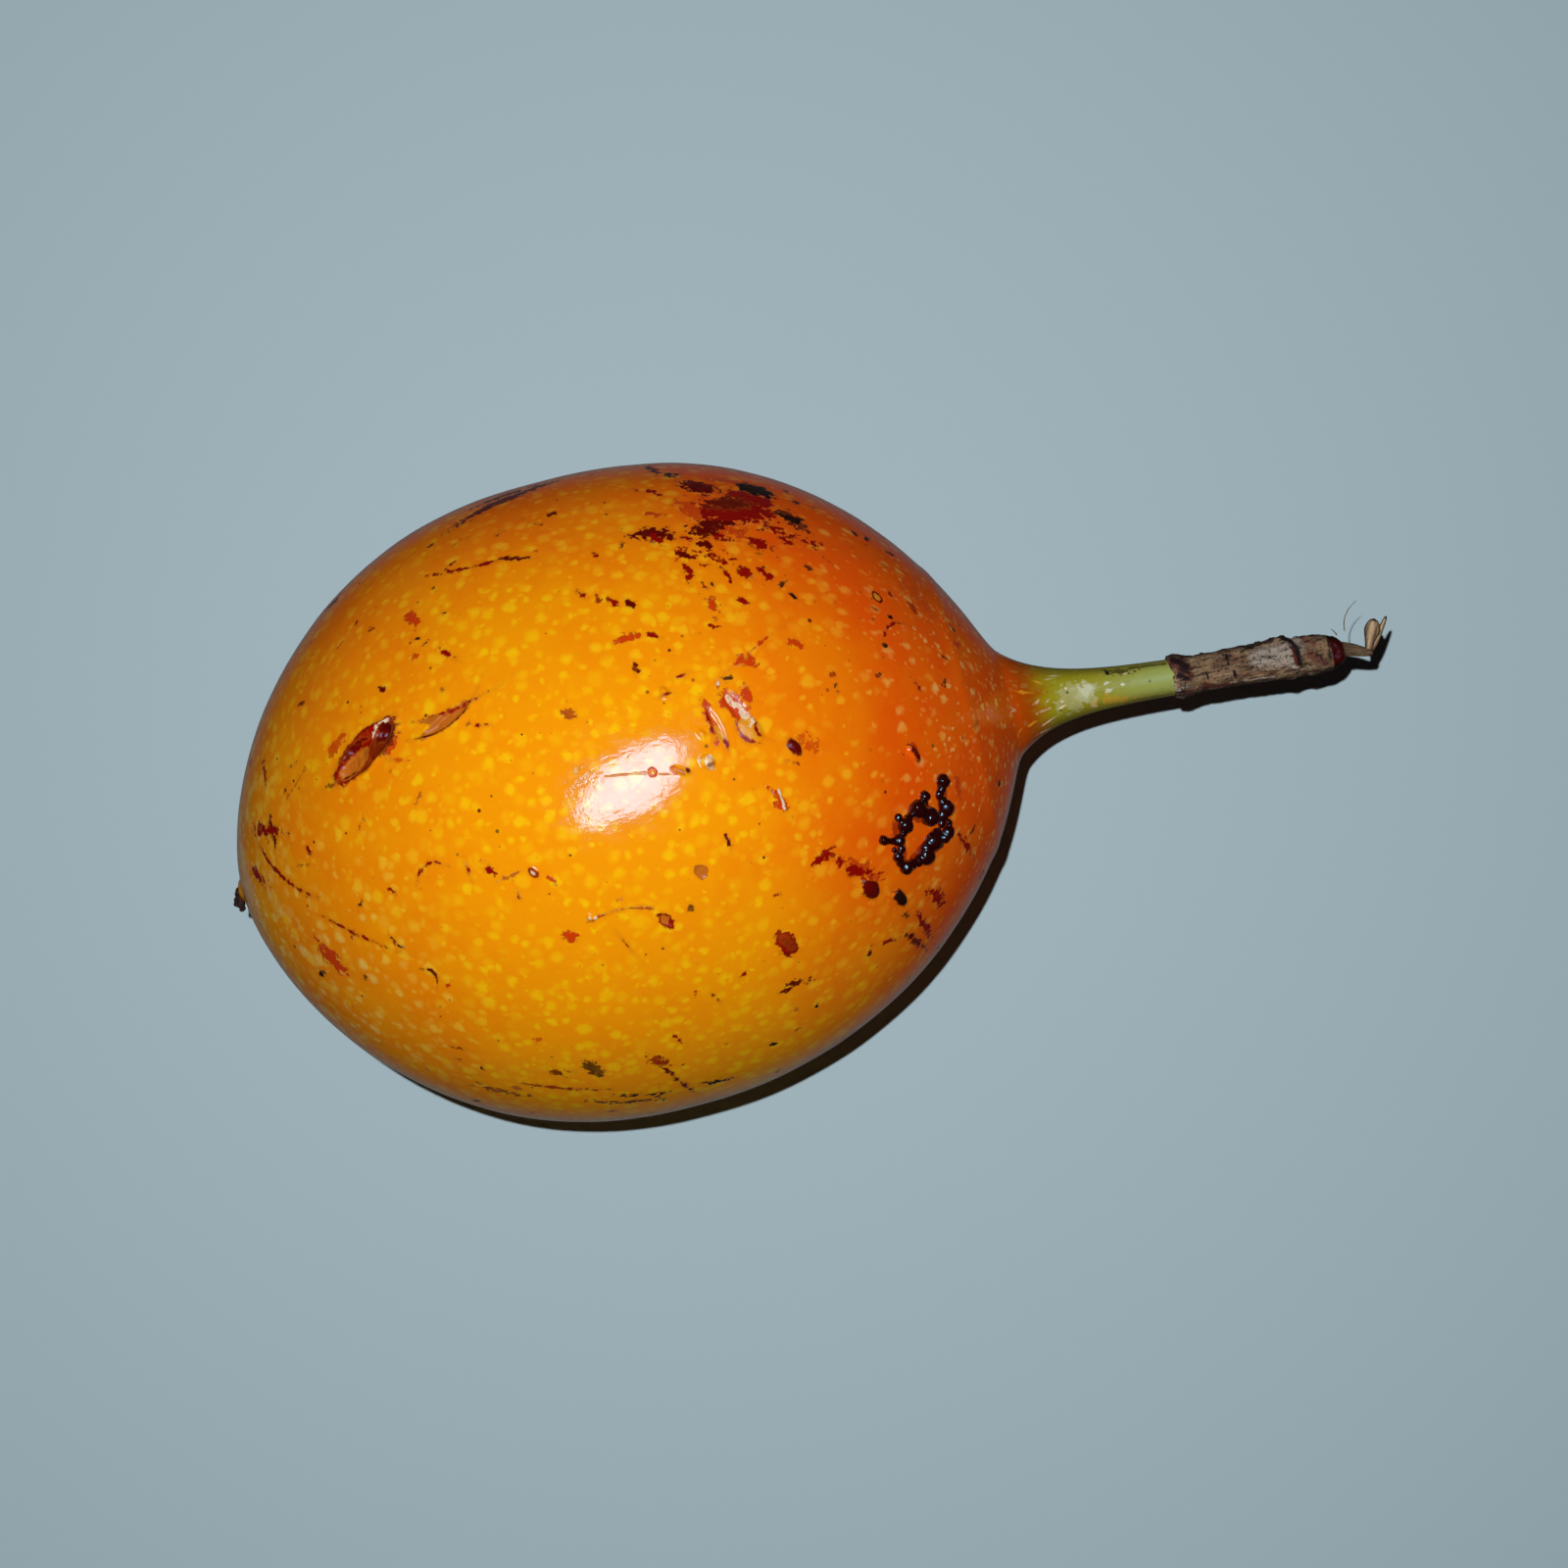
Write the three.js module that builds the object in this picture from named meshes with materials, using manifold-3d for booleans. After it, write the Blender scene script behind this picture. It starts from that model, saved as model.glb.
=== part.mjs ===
// A sweet granadilla, an orange passion fruit, lying on its side as picked, with its stalk on.
//
// Lengths are in millimetres and angles in degrees. +Z is up, and the fruit lies on the plane z = 0.
// The origin is the middle of the small flat spot it rests on, under its widest section.
// +X runs along the fruit from the blossom end to the stalk, and +Y to its left side.
// A place on the skin is its distance along X and its angle round the fruit, 0 on top and 90 at +Y.
import * as THREE from "three";
import { mergeVertices } from "three/addons/utils/BufferGeometryUtils.js";
import Module from "manifold-3d";

const wasm = await Module();
wasm.setup();

// Driving dimensions of the fruit
const FRUIT_RADIUS = 30;
const BLOSSOM_LENGTH = 35.5;
const SHOULDER_LENGTH = 38.6;
const BLOSSOM_CURVE = { along: 2.18, round: 1.63 };
const SHOULDER_CURVE = { along: 2.33, round: 1.59 };
const FLAT_DEPTH = 0.6;
const AXIS_HEIGHT = FRUIT_RADIUS - FLAT_DEPTH;
const NUB = { radius: 1.8, at: -34.2, rings: [0.98, 0.8, 0.4] };
const NECK = { radius: 1.65, flare: 3, fade: 3.83, end: 53.3, reach: 5 };
const SHOULDER_BLEND = 2;
const LOBES = { share: 0.006, count: 3, turn: 0.6 };

// Where the fruit's middle line leaves the X axis, sideways and upwards
const SWAY = { side: 0.35, over: 20 };
const BEND = { from: 27, side: -0.093, rise: 0.03, soft: 4 };

// Fineness of the solids
const SKIN_SIDES = 56;
const BLOSSOM_RINGS = { count: 17, lead: 0.25 };
const SHOULDER_RINGS = { count: 17, lead: 1 };
const NECK_RINGS = 9;
const STALK_SIDES = 16;
const LUMP_SIDES = 12;
const BLISTER_SIDES = 10;
const BEAD_SIDES = 8;
const BLADE = { sections: 12, sides: 10 };

// Points nearer than this are one point
const MERGE_DISTANCE = 1e-4;

// Space between neighbouring pieces
const GAP = 0.3;

// Healed wounds in the skin: length, width and depth, and the way each one points
const WOUNDS = [
  { along: -18.4, angle: 21, heading: 33, size: [7.6, 2.9, 0.55] },
  { along: -10.5, angle: 19, heading: 22, size: [5.2, 1.5, 0.4] },
  { along: 13.8, angle: 7, heading: -67, size: [5.2, 2, 0.35] },
  { along: 11.5, angle: 7, heading: -79, size: [4.4, 1, 0.3] },
  { along: -4, angle: 152, heading: 18, size: [5.6, 1.8, 0.4] },
];

// Blisters and dried drops that stand up from the skin: radius and height
const BLISTERS = [
  { along: 10.1, angle: 1, radius: 0.75, height: 0.4 },
  { along: 20.9, angle: -33, radius: 0.95, height: 0.5 },
  { along: 23.2, angle: -39, radius: 0.65, height: 0.45 },
  { along: 27.5, angle: -9, radius: 0.6, height: 0.4 },
  { along: 12.7, angle: -35, radius: 0.9, height: 0.25 },
  { along: 17.5, angle: -1, radius: 0.55, height: 0.25 },
  { along: -14, angle: 118, radius: 0.8, height: 0.4 },
  { along: 8, angle: -121, radius: 0.9, height: 0.45 },
];

// The crust of dried gum, as runs of beads in a plan of its own, turned from +X about +Z
const GUM = {
  at: [26.67, -9.28],
  turn: -14.3,
  ring: { centre: [0, -1], reach: [1.9, 2.55], beads: 22 },
  arms: [
    { from: [1.9, 0.2], to: [1.7, 3.9], beads: 7 },
    { from: [-1.75, -1.2], to: [-3.3, -1.2], beads: 4 },
    { from: [0.1, 1.6], to: [0.35, 2.9], beads: 4 },
  ],
  knob: { at: [0.25, 1.35], radius: 0.85 },
  bead: { radius: 0.52, spread: 0.12 },
};

// The woody stalk: its outline as distance along X and radius, with the raised scar of a fallen leaf
const STALK = {
  outline: [
    [53.6, 1.95],
    [54.4, 2.0],
    [55.6, 1.78],
    [58.4, 1.74],
    [61.4, 1.82],
    [63.6, 1.92],
    [64.3, 2.12],
    [64.9, 1.86],
    [66.4, 1.94],
    [68.2, 1.68],
    [69.2, 1.2],
    [69.6, 0.75],
  ],
  rings: 44,
  roughness: 0.09,
  lip: 0.35,
};

// The dried shoot at the cut end: a shrivelled stub that carries two withered scales
const SHOOT = {
  stub: { line: [[69.9, -3.5, 0], [70.9, -4.0, 0.1], [72.1, -4.5, 0.1]], wide: [0.62, 0.5, 0.42], thick: 0.42 },
  broadScale: { line: [[71.7, -4.4, 0.1], [72.2, -3.1, 0.6], [72.8, -1.5, 0.9]], wide: [0.34, 0.72, 0.3], thick: 0.31 },
  narrowScale: { line: [[71.8, -4.5, 0], [73.0, -3.0, 0.1], [74.0, -1.6, 0.2]], wide: [0.34, 0.32, 0.22], thick: 0.31 },
};

// The withered style at the blossom end: lumps round the tip
const STYLE = {
  at: [-36.3, -0.7],
  ring: 0.85,
  lumps: 6,
  lump: { radius: 0.5, least: 0.85, spread: 0.4, lean: 0.1 },
  core: 0.8,
};

const radians = THREE.MathUtils.degToRad;

// Seeded numbers from 0 to 1, the same on every run
function seeded(seed) {
  let state = seed;
  return () => {
    state = (Math.imul(state, 1664525) + 1013904223) >>> 0;
    return state / 4294967296;
  };
}

// The larger of two lengths, with a fillet where they meet
function filleted(a, b, width) {
  const share = Math.max(width - Math.abs(a - b), 0) / width;
  return Math.max(a, b) + (share * share * width) / 4;
}

// 0 before zero and the distance itself well after it, with a soft turn
function softRamp(distance, soft) {
  return (distance + Math.hypot(distance, soft)) / 2;
}

// The radius of an egg's half at a distance from its widest section
function eggRadius(distance, length, curve) {
  const share = Math.min(Math.abs(distance) / length, 1);
  return FRUIT_RADIUS * (1 - share ** curve.along) ** (1 / curve.round);
}

// The distance from the widest section where the egg's half has the given share of its radius
function eggDistance(share, length, curve) {
  return length * (1 - share ** curve.round) ** (1 / curve.along);
}

// The fruit's radius at x, from the nub at the blossom end to the end of the green neck
function skinRadius(x) {
  if (x < 0) {
    const body = x > -BLOSSOM_LENGTH ? eggRadius(x, BLOSSOM_LENGTH, BLOSSOM_CURVE) : 0;
    const nub = Math.sqrt(Math.max(NUB.radius ** 2 - (x - NUB.at) ** 2, 0));
    return Math.max(body, nub);
  }
  const body = eggRadius(x, SHOULDER_LENGTH, SHOULDER_CURVE);
  const pastShoulder = Math.max(x - SHOULDER_LENGTH, -NECK.reach);
  const neck = NECK.radius + NECK.flare * Math.exp(-pastShoulder / NECK.fade);
  return filleted(body, neck, SHOULDER_BLEND);
}

// The middle line of the fruit and of its stalk at x
function middle(x) {
  const share = THREE.MathUtils.smoothstep(x, 0, SWAY.over);
  const ramp = softRamp(x - BEND.from, BEND.soft) - softRamp(-BEND.from, BEND.soft);
  return new THREE.Vector3(x, SWAY.side * share + BEND.side * ramp, AXIS_HEIGHT + BEND.rise * ramp);
}

// A point of the skin, or above it by lift; three faint lobes run along the fruit
function skinPoint(x, angle, lift = 0) {
  const turn = radians(angle);
  const radius = skinRadius(x);
  const lobes = 1 + LOBES.share * Math.cos(LOBES.count * turn + LOBES.turn) * (radius / FRUIT_RADIUS);
  const reach = radius * lobes + lift;
  return middle(x).add(new THREE.Vector3(0, reach * Math.sin(turn), reach * Math.cos(turn)));
}

// A closed surface through rings of as many points each, with its two ends filled
function loft(rings) {
  const sides = rings[0].length;
  const points = rings.flat();
  const centreOf = (ring) =>
    ring.reduce((sum, point) => sum.add(point), new THREE.Vector3()).divideScalar(sides);
  points.push(centreOf(rings[0]), centreOf(rings.at(-1)));
  const [startCentre, endCentre] = [points.length - 2, points.length - 1];
  const lastRing = (rings.length - 1) * sides;
  const index = [];
  for (let side = 0; side < sides; side++) {
    const next = (side + 1) % sides;
    index.push(startCentre, next, side);
    index.push(endCentre, lastRing + side, lastRing + next);
    for (let start = 0; start < lastRing; start += sides) {
      const [a, b] = [start + side, start + next];
      index.push(a, b, b + sides, a, b + sides, a + sides);
    }
  }
  const geometry = new THREE.BufferGeometry().setFromPoints(points);
  return geometry.setIndex(index);
}

// A closed geometry as a solid that can be joined and cut
function solidOf(geometry) {
  const bare = geometry.clone();
  bare.deleteAttribute("normal");
  bare.deleteAttribute("uv");
  const merged = mergeVertices(bare, MERGE_DISTANCE);
  const made = new wasm.Manifold(
    new wasm.Mesh({
      numProp: 3,
      vertProperties: merged.attributes.position.array,
      triVerts: new Uint32Array(merged.index.array),
    }),
  );
  if (made.volume() < 0) throw new Error("a geometry's faces point inwards");
  return made;
}

// A solid's faces as a geometry
function geometryOf(solid) {
  const mesh = solid.getMesh();
  const geometry = new THREE.BufferGeometry();
  geometry.setAttribute("position", new THREE.BufferAttribute(mesh.vertProperties, 3));
  geometry.setIndex(new THREE.BufferAttribute(mesh.triVerts, 1));
  const faceted = geometry.toNonIndexed();
  faceted.computeVertexNormals();
  return faceted;
}

// A place on the skin as a frame: x the way it heads, y across it, z out of the skin
function skinFrame({ along, angle, heading = 0 }) {
  const step = 0.05;
  const centre = skinPoint(along, angle);
  const forward = skinPoint(along + step, angle).sub(centre).normalize();
  const around = skinPoint(along, angle + step).sub(centre).normalize();
  const out = new THREE.Vector3().crossVectors(forward, around).normalize();
  const side = new THREE.Vector3().crossVectors(out, forward);
  const frame = new THREE.Matrix4().makeBasis(forward, side, out);
  return frame.multiply(new THREE.Matrix4().makeRotationZ(radians(heading))).setPosition(centre);
}

// The biggest body of a solid, without the scraps that a cut leaves
function largestBody(solid) {
  return solid.decompose().reduce((most, body) => (body.volume() > most.volume() ? body : most));
}

// A smooth lump with the given half sizes, set in a frame
function lump(frame, [length, width, height], sides = LUMP_SIDES) {
  const ball = new THREE.SphereGeometry(1, sides, Math.ceil(sides / 2));
  ball.rotateX(Math.PI / 2);
  return solidOf(ball.scale(length, width, height).applyMatrix4(frame));
}

// The point of the skin's upper side that lies under a point of the plan
function skinUnder(x, y, lift = 0) {
  const angle = Math.asin(THREE.MathUtils.clamp((y - middle(x).y) / skinRadius(x), -1, 1));
  return skinPoint(x, THREE.MathUtils.radToDeg(angle), lift);
}

// Where the rings of an egg's half are, from the one nearest its end to the one nearest its middle
function eggStations({ count, lead }, length, curve) {
  return Array.from({ length: count }, (_, ring) => {
    const share = Math.sin(((ring + 1 + lead) / (count + 1 + lead)) * (Math.PI / 2));
    return eggDistance(share, length, curve);
  });
}

// The skin as a closed solid, or a copy of it that stands out by lift
function skinSolid(lift = 0) {
  const blossom = eggStations(BLOSSOM_RINGS, BLOSSOM_LENGTH, BLOSSOM_CURVE);
  const shoulder = eggStations(SHOULDER_RINGS, SHOULDER_LENGTH, SHOULDER_CURVE);
  const neckStep = (NECK.end - shoulder[0]) / NECK_RINGS;
  const stations = [
    ...NUB.rings.map((share) => NUB.at - NUB.radius * share),
    ...blossom.map((distance) => -distance),
    0,
    ...shoulder.reverse(),
    ...Array.from({ length: NECK_RINGS }, (_, ring) => NECK.end - neckStep * (NECK_RINGS - 1 - ring)),
  ];
  const ringAt = (x) =>
    Array.from({ length: SKIN_SIDES }, (_, side) => skinPoint(x, (-360 * side) / SKIN_SIDES, lift));
  return solidOf(loft(stations.map(ringAt)));
}

// The fruit: skin and green neck in one, a flat spot to rest on, wounds cut in and blisters grown on
function fruitGeometry() {
  const ground = new THREE.BoxGeometry(4 * FRUIT_RADIUS, 4 * FRUIT_RADIUS, FRUIT_RADIUS);
  let fruit = skinSolid().subtract(solidOf(ground.translate(0, 0, -FRUIT_RADIUS / 2)));
  for (const wound of WOUNDS) {
    const half = wound.size.map((length, axis) => (axis < 2 ? length / 2 : length));
    fruit = fruit.subtract(lump(skinFrame(wound), half));
  }
  for (const blister of BLISTERS) {
    const half = [blister.radius, blister.radius, blister.height];
    fruit = fruit.add(lump(skinFrame(blister), half, BLISTER_SIDES));
  }
  return geometryOf(fruit);
}

// The beads of dried gum: a closed ring with arms, run together, cut clear of the skin
function gumGeometry() {
  const random = seeded(11);
  const turn = radians(GUM.turn);
  const centres = [[GUM.knob.at, GUM.knob.radius]];
  const addBead = (place) =>
    centres.push([place, GUM.bead.radius + GUM.bead.spread * (2 * random() - 1)]);
  for (let bead = 0; bead < GUM.ring.beads; bead++) {
    const phase = (2 * Math.PI * bead) / GUM.ring.beads;
    const [reachX, reachY] = GUM.ring.reach;
    addBead([
      GUM.ring.centre[0] + reachX * Math.cos(phase),
      GUM.ring.centre[1] + reachY * Math.sin(phase),
    ]);
  }
  for (const arm of GUM.arms)
    for (let bead = 0; bead < arm.beads; bead++) {
      const share = bead / (arm.beads - 1);
      addBead(arm.from.map((start, axis) => start + (arm.to[axis] - start) * share));
    }
  const beads = centres.map(([[u, v], radius]) => {
    const x = GUM.at[0] + u * Math.cos(turn) - v * Math.sin(turn);
    const y = GUM.at[1] + u * Math.sin(turn) + v * Math.cos(turn);
    const frame = new THREE.Matrix4().setPosition(skinUnder(x, y, GAP));
    return lump(frame, [radius, radius, radius], BEAD_SIDES);
  });
  const crust = beads.reduce((joined, bead) => joined.add(bead));
  return geometryOf(largestBody(crust.subtract(skinSolid(GAP))));
}

// The withered style: a core with lumps round it, over the nub at the blossom end
function styleGeometry() {
  const random = seeded(5);
  const [x, y] = STYLE.at;
  const centre = new THREE.Vector3(x, y, AXIS_HEIGHT);
  const { radius, least, spread, lean } = STYLE.lump;
  let style = lump(new THREE.Matrix4().setPosition(centre), [radius, STYLE.core, STYLE.core]);
  for (let count = 0; count < STYLE.lumps; count++) {
    const phase = (2 * Math.PI * count) / STYLE.lumps;
    const offset = new THREE.Vector3(-lean * random(), Math.cos(phase), Math.sin(phase));
    const frame = new THREE.Matrix4().setPosition(offset.multiplyScalar(STYLE.ring).add(centre));
    const size = radius * (least + spread * random());
    style = style.add(lump(frame, [size, size, size], BEAD_SIDES));
  }
  return geometryOf(largestBody(style.subtract(skinSolid(GAP))));
}

// The woody stalk: rough bark with a torn lip where the green neck comes out
function stalkGeometry() {
  const random = seeded(29);
  const outline = new THREE.SplineCurve(STALK.outline.map(([x, radius]) => new THREE.Vector2(x, radius)));
  const rings = outline.getSpacedPoints(STALK.rings).map(({ x, y: radius }, ring) =>
    Array.from({ length: STALK_SIDES }, (_, side) => {
      const turn = (-2 * Math.PI * side) / STALK_SIDES;
      const reach = radius + STALK.roughness * (2 * random() - 1);
      const back = ring === 0 ? STALK.lip * random() : 0;
      return middle(x).add(new THREE.Vector3(back, reach * Math.sin(turn), reach * Math.cos(turn)));
    }),
  );
  return loft(rings);
}

// A thin piece along a curve of the plan, with rounded edges; wide and thick are half sizes
function blade({ line, wide, thick }) {
  const { sections, sides } = BLADE;
  const places = line.map(([x, y, rise]) => new THREE.Vector3(x, y, middle(x).z + rise));
  const curve = new THREE.CatmullRomCurve3(places);
  const widths = new THREE.SplineCurve(wide.map((half, count) => new THREE.Vector2(count, half)));
  const up = new THREE.Vector3(0, 0, 1);
  const rings = Array.from({ length: sections + 1 }, (_, section) => {
    const share = section / sections;
    const across = new THREE.Vector3().crossVectors(up, curve.getTangent(share)).normalize();
    const half = widths.getPoint(share).y;
    return Array.from({ length: sides }, (_, side) => {
      const turn = (-2 * Math.PI * side) / sides;
      return curve
        .getPoint(share)
        .addScaledVector(across, half * Math.sin(turn))
        .addScaledVector(up, thick * Math.cos(turn));
    });
  });
  return solidOf(loft(rings));
}

// The dried shoot: the stub and its two withered scales, grown together
function shootGeometry() {
  const pieces = [SHOOT.stub, SHOOT.broadScale, SHOOT.narrowScale].map(blade);
  return geometryOf(pieces.reduce((joined, piece) => joined.add(piece)));
}

function piece(name, geometry, color, roughness) {
  const mesh = new THREE.Mesh(geometry, new THREE.MeshStandardMaterial({ color, roughness, metalness: 0 }));
  mesh.name = name;
  return mesh;
}

const granadilla = new THREE.Group();
granadilla.add(
  piece("fruit", fruitGeometry(), 0xe8900c, 0.3),
  piece("gum_crust", gumGeometry(), 0x2c0806, 0.15),
  piece("withered_style", styleGeometry(), 0x1e0e0a, 0.7),
  piece("woody_stalk", stalkGeometry(), 0x7a6454, 0.85),
  piece("dried_shoot", shootGeometry(), 0x9a7a52, 0.8),
);

export default granadilla;
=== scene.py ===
"""The looks of a sweet granadilla, an orange passion fruit lying on its side with its stalk on.

Lengths are in millimetres and angles in degrees until a mesh is finished, which is in metres.
+X runs along the fruit to its stalk, +Y to its left side and +Z up from the floor.
An angle round the fruit is 0 on top and 90 at +Y. A place in the photograph is a pixel of its
1600 by 1600 frame, and a place on the rind is found from it by the camera's own ray.
"""

import logging
import math
from dataclasses import dataclass, field
from enum import Enum
from typing import Any, Sequence

import bmesh
import bpy
import numpy as np
from mathutils import Matrix, Vector, noise

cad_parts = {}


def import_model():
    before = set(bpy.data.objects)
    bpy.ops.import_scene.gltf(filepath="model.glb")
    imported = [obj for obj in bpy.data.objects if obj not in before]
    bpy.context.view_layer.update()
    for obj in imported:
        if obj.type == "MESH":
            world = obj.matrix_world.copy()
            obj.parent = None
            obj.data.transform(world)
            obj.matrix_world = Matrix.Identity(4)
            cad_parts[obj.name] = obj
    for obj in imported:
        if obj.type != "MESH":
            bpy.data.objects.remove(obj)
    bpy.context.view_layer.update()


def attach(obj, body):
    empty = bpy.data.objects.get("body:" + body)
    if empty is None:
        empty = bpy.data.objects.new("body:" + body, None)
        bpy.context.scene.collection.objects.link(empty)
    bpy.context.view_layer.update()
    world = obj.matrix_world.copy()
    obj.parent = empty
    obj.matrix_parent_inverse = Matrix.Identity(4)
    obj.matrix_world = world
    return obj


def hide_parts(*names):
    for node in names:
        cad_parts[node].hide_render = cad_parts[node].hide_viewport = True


LOG = logging.getLogger("granadilla")
MM = 0.001
BODY = "root"

Pixel = tuple[float, float]
Colour = tuple[float, float, float]
Array = np.ndarray
Socket = bpy.types.NodeSocket


def ease(values: Array, low: float, high: float) -> Array:
    """Rises smoothly from 0 at low to 1 at high, or falls where high is below low."""
    share = np.clip((values - low) / (high - low), 0.0, 1.0)
    return share * share * (3.0 - 2.0 * share)


def soft_ramp(distance: Array, soft: float) -> Array:
    """Is 0 before zero and the distance itself well after it, with a soft turn."""
    return (distance + np.hypot(distance, soft)) / 2.0


def rough(points: Array, size: float, octaves: int = 3, seed: float = 0.0) -> Array:
    """Gives fractal noise from about -1 to 1 at each point.

    Args:
        points: One row of x, y and z for each point.
        size: The size of the noise's largest features.
        octaves: How many finer layers it has.
        seed: Moves the pattern.

    Returns:
        One value for each point.
    """
    shift = Vector((seed, -0.7 * seed, 1.3 * seed))
    scaled = (points / size).tolist()
    return np.array([noise.fractal(Vector(place) + shift, 1.0, 2.0, octaves) for place in scaled])


def spline(knots: Sequence[Pixel], at: Array) -> Array:
    """Gives the height of a smooth line through knots of (place, height) at each place asked for."""
    places = np.array([knot[0] for knot in knots])
    heights = np.array([knot[1] for knot in knots])
    slopes = np.gradient(heights, places)
    index = np.clip(np.searchsorted(places, at) - 1, 0, len(places) - 2)
    step = places[index + 1] - places[index]
    share = np.clip((at - places[index]) / step, 0.0, 1.0)
    start = heights[index] * (1 + 2 * share) * (1 - share) ** 2
    end = heights[index + 1] * share**2 * (3 - 2 * share)
    bend = slopes[index] * share * (1 - share) ** 2 - slopes[index + 1] * share**2 * (1 - share)
    return start + end + bend * step


def mesh_object(name: str, points: Array, faces: Sequence[Sequence[int]]) -> bpy.types.Object:
    """Makes a smooth-shaded mesh object at the origin.

    Args:
        name: The piece's name.
        points: Its vertices in millimetres.
        faces: Its faces as lists of vertex numbers, pointing out.

    Returns:
        The new object, still in millimetres.
    """
    mesh = bpy.data.meshes.new(name)
    mesh.from_pydata(np.asarray(points).tolist(), [], faces)
    mesh.shade_smooth()
    piece = bpy.data.objects.new(name, mesh)
    bpy.context.scene.collection.objects.link(piece)
    return piece


def point_values(mesh: bpy.types.Mesh, name: str, values: Array) -> None:
    """Stores one number for each vertex of a mesh under a name that its material reads."""
    layer = mesh.attributes.new(name, "FLOAT", "POINT")
    layer.data.foreach_set("value", np.ascontiguousarray(values, dtype=np.float32))


def ring_faces(rings: int, sides: int) -> list[list[int]]:
    """Lists the faces of a tube of rings, each of as many points, with both ends closed by a fan."""
    faces = []
    for ring in range(rings - 1):
        start = ring * sides
        for side in range(sides):
            after = (side + 1) % sides
            faces.append([start + side, start + sides + side, start + sides + after, start + after])
    tip, base, last = rings * sides, rings * sides + 1, (rings - 1) * sides
    for side in range(sides):
        after = (side + 1) % sides
        faces.append([tip, side, after])
        faces.append([base, last + after, last + side])
    return faces


def with_ends(rings: Array) -> Array:
    """Adds the middles of the first and last ring, which the end fans need, to a tube's points."""
    flat = rings.reshape(-1, 3)
    return np.vstack([flat, rings[0].mean(0), rings[-1].mean(0)])


def finish_piece(piece: bpy.types.Object, finish: bpy.types.Material, node: str) -> None:
    """Turns a piece to metres, gives it its finish and hands it to the frame in its node's place."""
    piece.data.transform(Matrix.Scale(MM, 4))
    piece.data.materials.clear()
    piece.data.materials.append(finish)
    piece.data.update()
    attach(piece, BODY)
    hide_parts(node)
    piece.data.calc_loop_triangles()
    LOG.info("%s: %d triangles", piece.name, len(piece.data.loop_triangles))


@dataclass(frozen=True)
class FruitShape:
    """The form of the fruit and the line that its stalk follows, as the solid has them."""

    radius: float = 30.0
    blossom_length: float = 35.5
    shoulder_length: float = 38.6
    blossom_curve: Pixel = (2.18, 1.63)
    shoulder_curve: Pixel = (2.33, 1.59)
    flat_depth: float = 0.6
    nub_radius: float = 1.8
    nub_at: float = -34.2
    neck_radius: float = 1.65
    neck_flare: float = 3.0
    neck_fade: float = 3.83
    neck_reach: float = 5.0
    shoulder_blend: float = 2.0
    lobe_share: float = 0.006
    lobe_count: int = 3
    lobe_turn: float = 0.6
    sway: Pixel = (0.35, 20.0)
    bend_from: float = 27.0
    bend_side: float = -0.093
    bend_rise: float = 0.03
    bend_soft: float = 4.0

    @property
    def axis_height(self) -> float:
        """Height of the fruit's middle above the floor."""
        return self.radius - self.flat_depth

    def egg_radius(self, distance: Array, length: float, curve: Pixel) -> Array:
        """Radius of one half of the egg at a distance from its widest section."""
        share = np.clip(np.abs(distance) / length, 0.0, 1.0)
        return self.radius * (1.0 - share ** curve[0]) ** (1.0 / curve[1])

    def skin_radius(self, x: Array) -> Array:
        """Radius of the rind at each x, from the nub at the blossom end to the end of the neck."""
        blossom = self.egg_radius(x, self.blossom_length, self.blossom_curve)
        blossom = np.where(x > -self.blossom_length, blossom, 0.0)
        nub = np.sqrt(np.clip(self.nub_radius**2 - (x - self.nub_at) ** 2, 0.0, None))
        shoulder = self.egg_radius(x, self.shoulder_length, self.shoulder_curve)
        past = np.maximum(x - self.shoulder_length, -self.neck_reach)
        neck = self.neck_radius + self.neck_flare * np.exp(-past / self.neck_fade)
        near = np.clip(self.shoulder_blend - np.abs(shoulder - neck), 0.0, None) / self.shoulder_blend
        front = np.maximum(shoulder, neck) + near * near * self.shoulder_blend / 4.0
        return np.where(x < 0.0, np.maximum(blossom, nub), front)

    def middle(self, x: Array) -> Array:
        """The middle line of the fruit and of its stalk, one row for each x."""
        side, over = self.sway
        ramp = soft_ramp(x - self.bend_from, self.bend_soft) - soft_ramp(-self.bend_from, self.bend_soft)
        across = side * ease(x, 0.0, over) + self.bend_side * ramp
        return np.stack([x, across, self.axis_height + self.bend_rise * ramp], axis=-1)

    def skin(self, x: Array, angle: Array, lift: Array | float = 0.0) -> Array:
        """Points of the rind, or above it by lift, for each x and angle."""
        turn = np.radians(angle)
        radius = self.skin_radius(x)
        lobes = self.lobe_share * np.cos(self.lobe_count * turn + self.lobe_turn) * radius / self.radius
        reach = radius * (1.0 + lobes) + lift
        around = np.stack([np.zeros_like(turn), np.sin(turn), np.cos(turn)], axis=-1)
        return self.middle(x) + around * np.asarray(reach)[..., None]

    def outward(self, x: Array, angle: Array) -> Array:
        """The directions that point straight out of the rind at each x and angle."""
        step = 0.02
        along = self.skin(x + step, angle) - self.skin(x - step, angle)
        around = self.skin(x, angle + step) - self.skin(x, angle - step)
        out = np.cross(along, around)
        return out / np.maximum(np.linalg.norm(out, axis=-1, keepdims=True), 1e-12)

    def depth_inside(self, points: Array) -> Array:
        """How far each point lies inside the rind, negative outside."""
        centre = self.middle(points[..., 0])
        offset = points[..., 1:] - centre[..., 1:]
        return self.skin_radius(points[..., 0]) - np.linalg.norm(offset, axis=-1)


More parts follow.
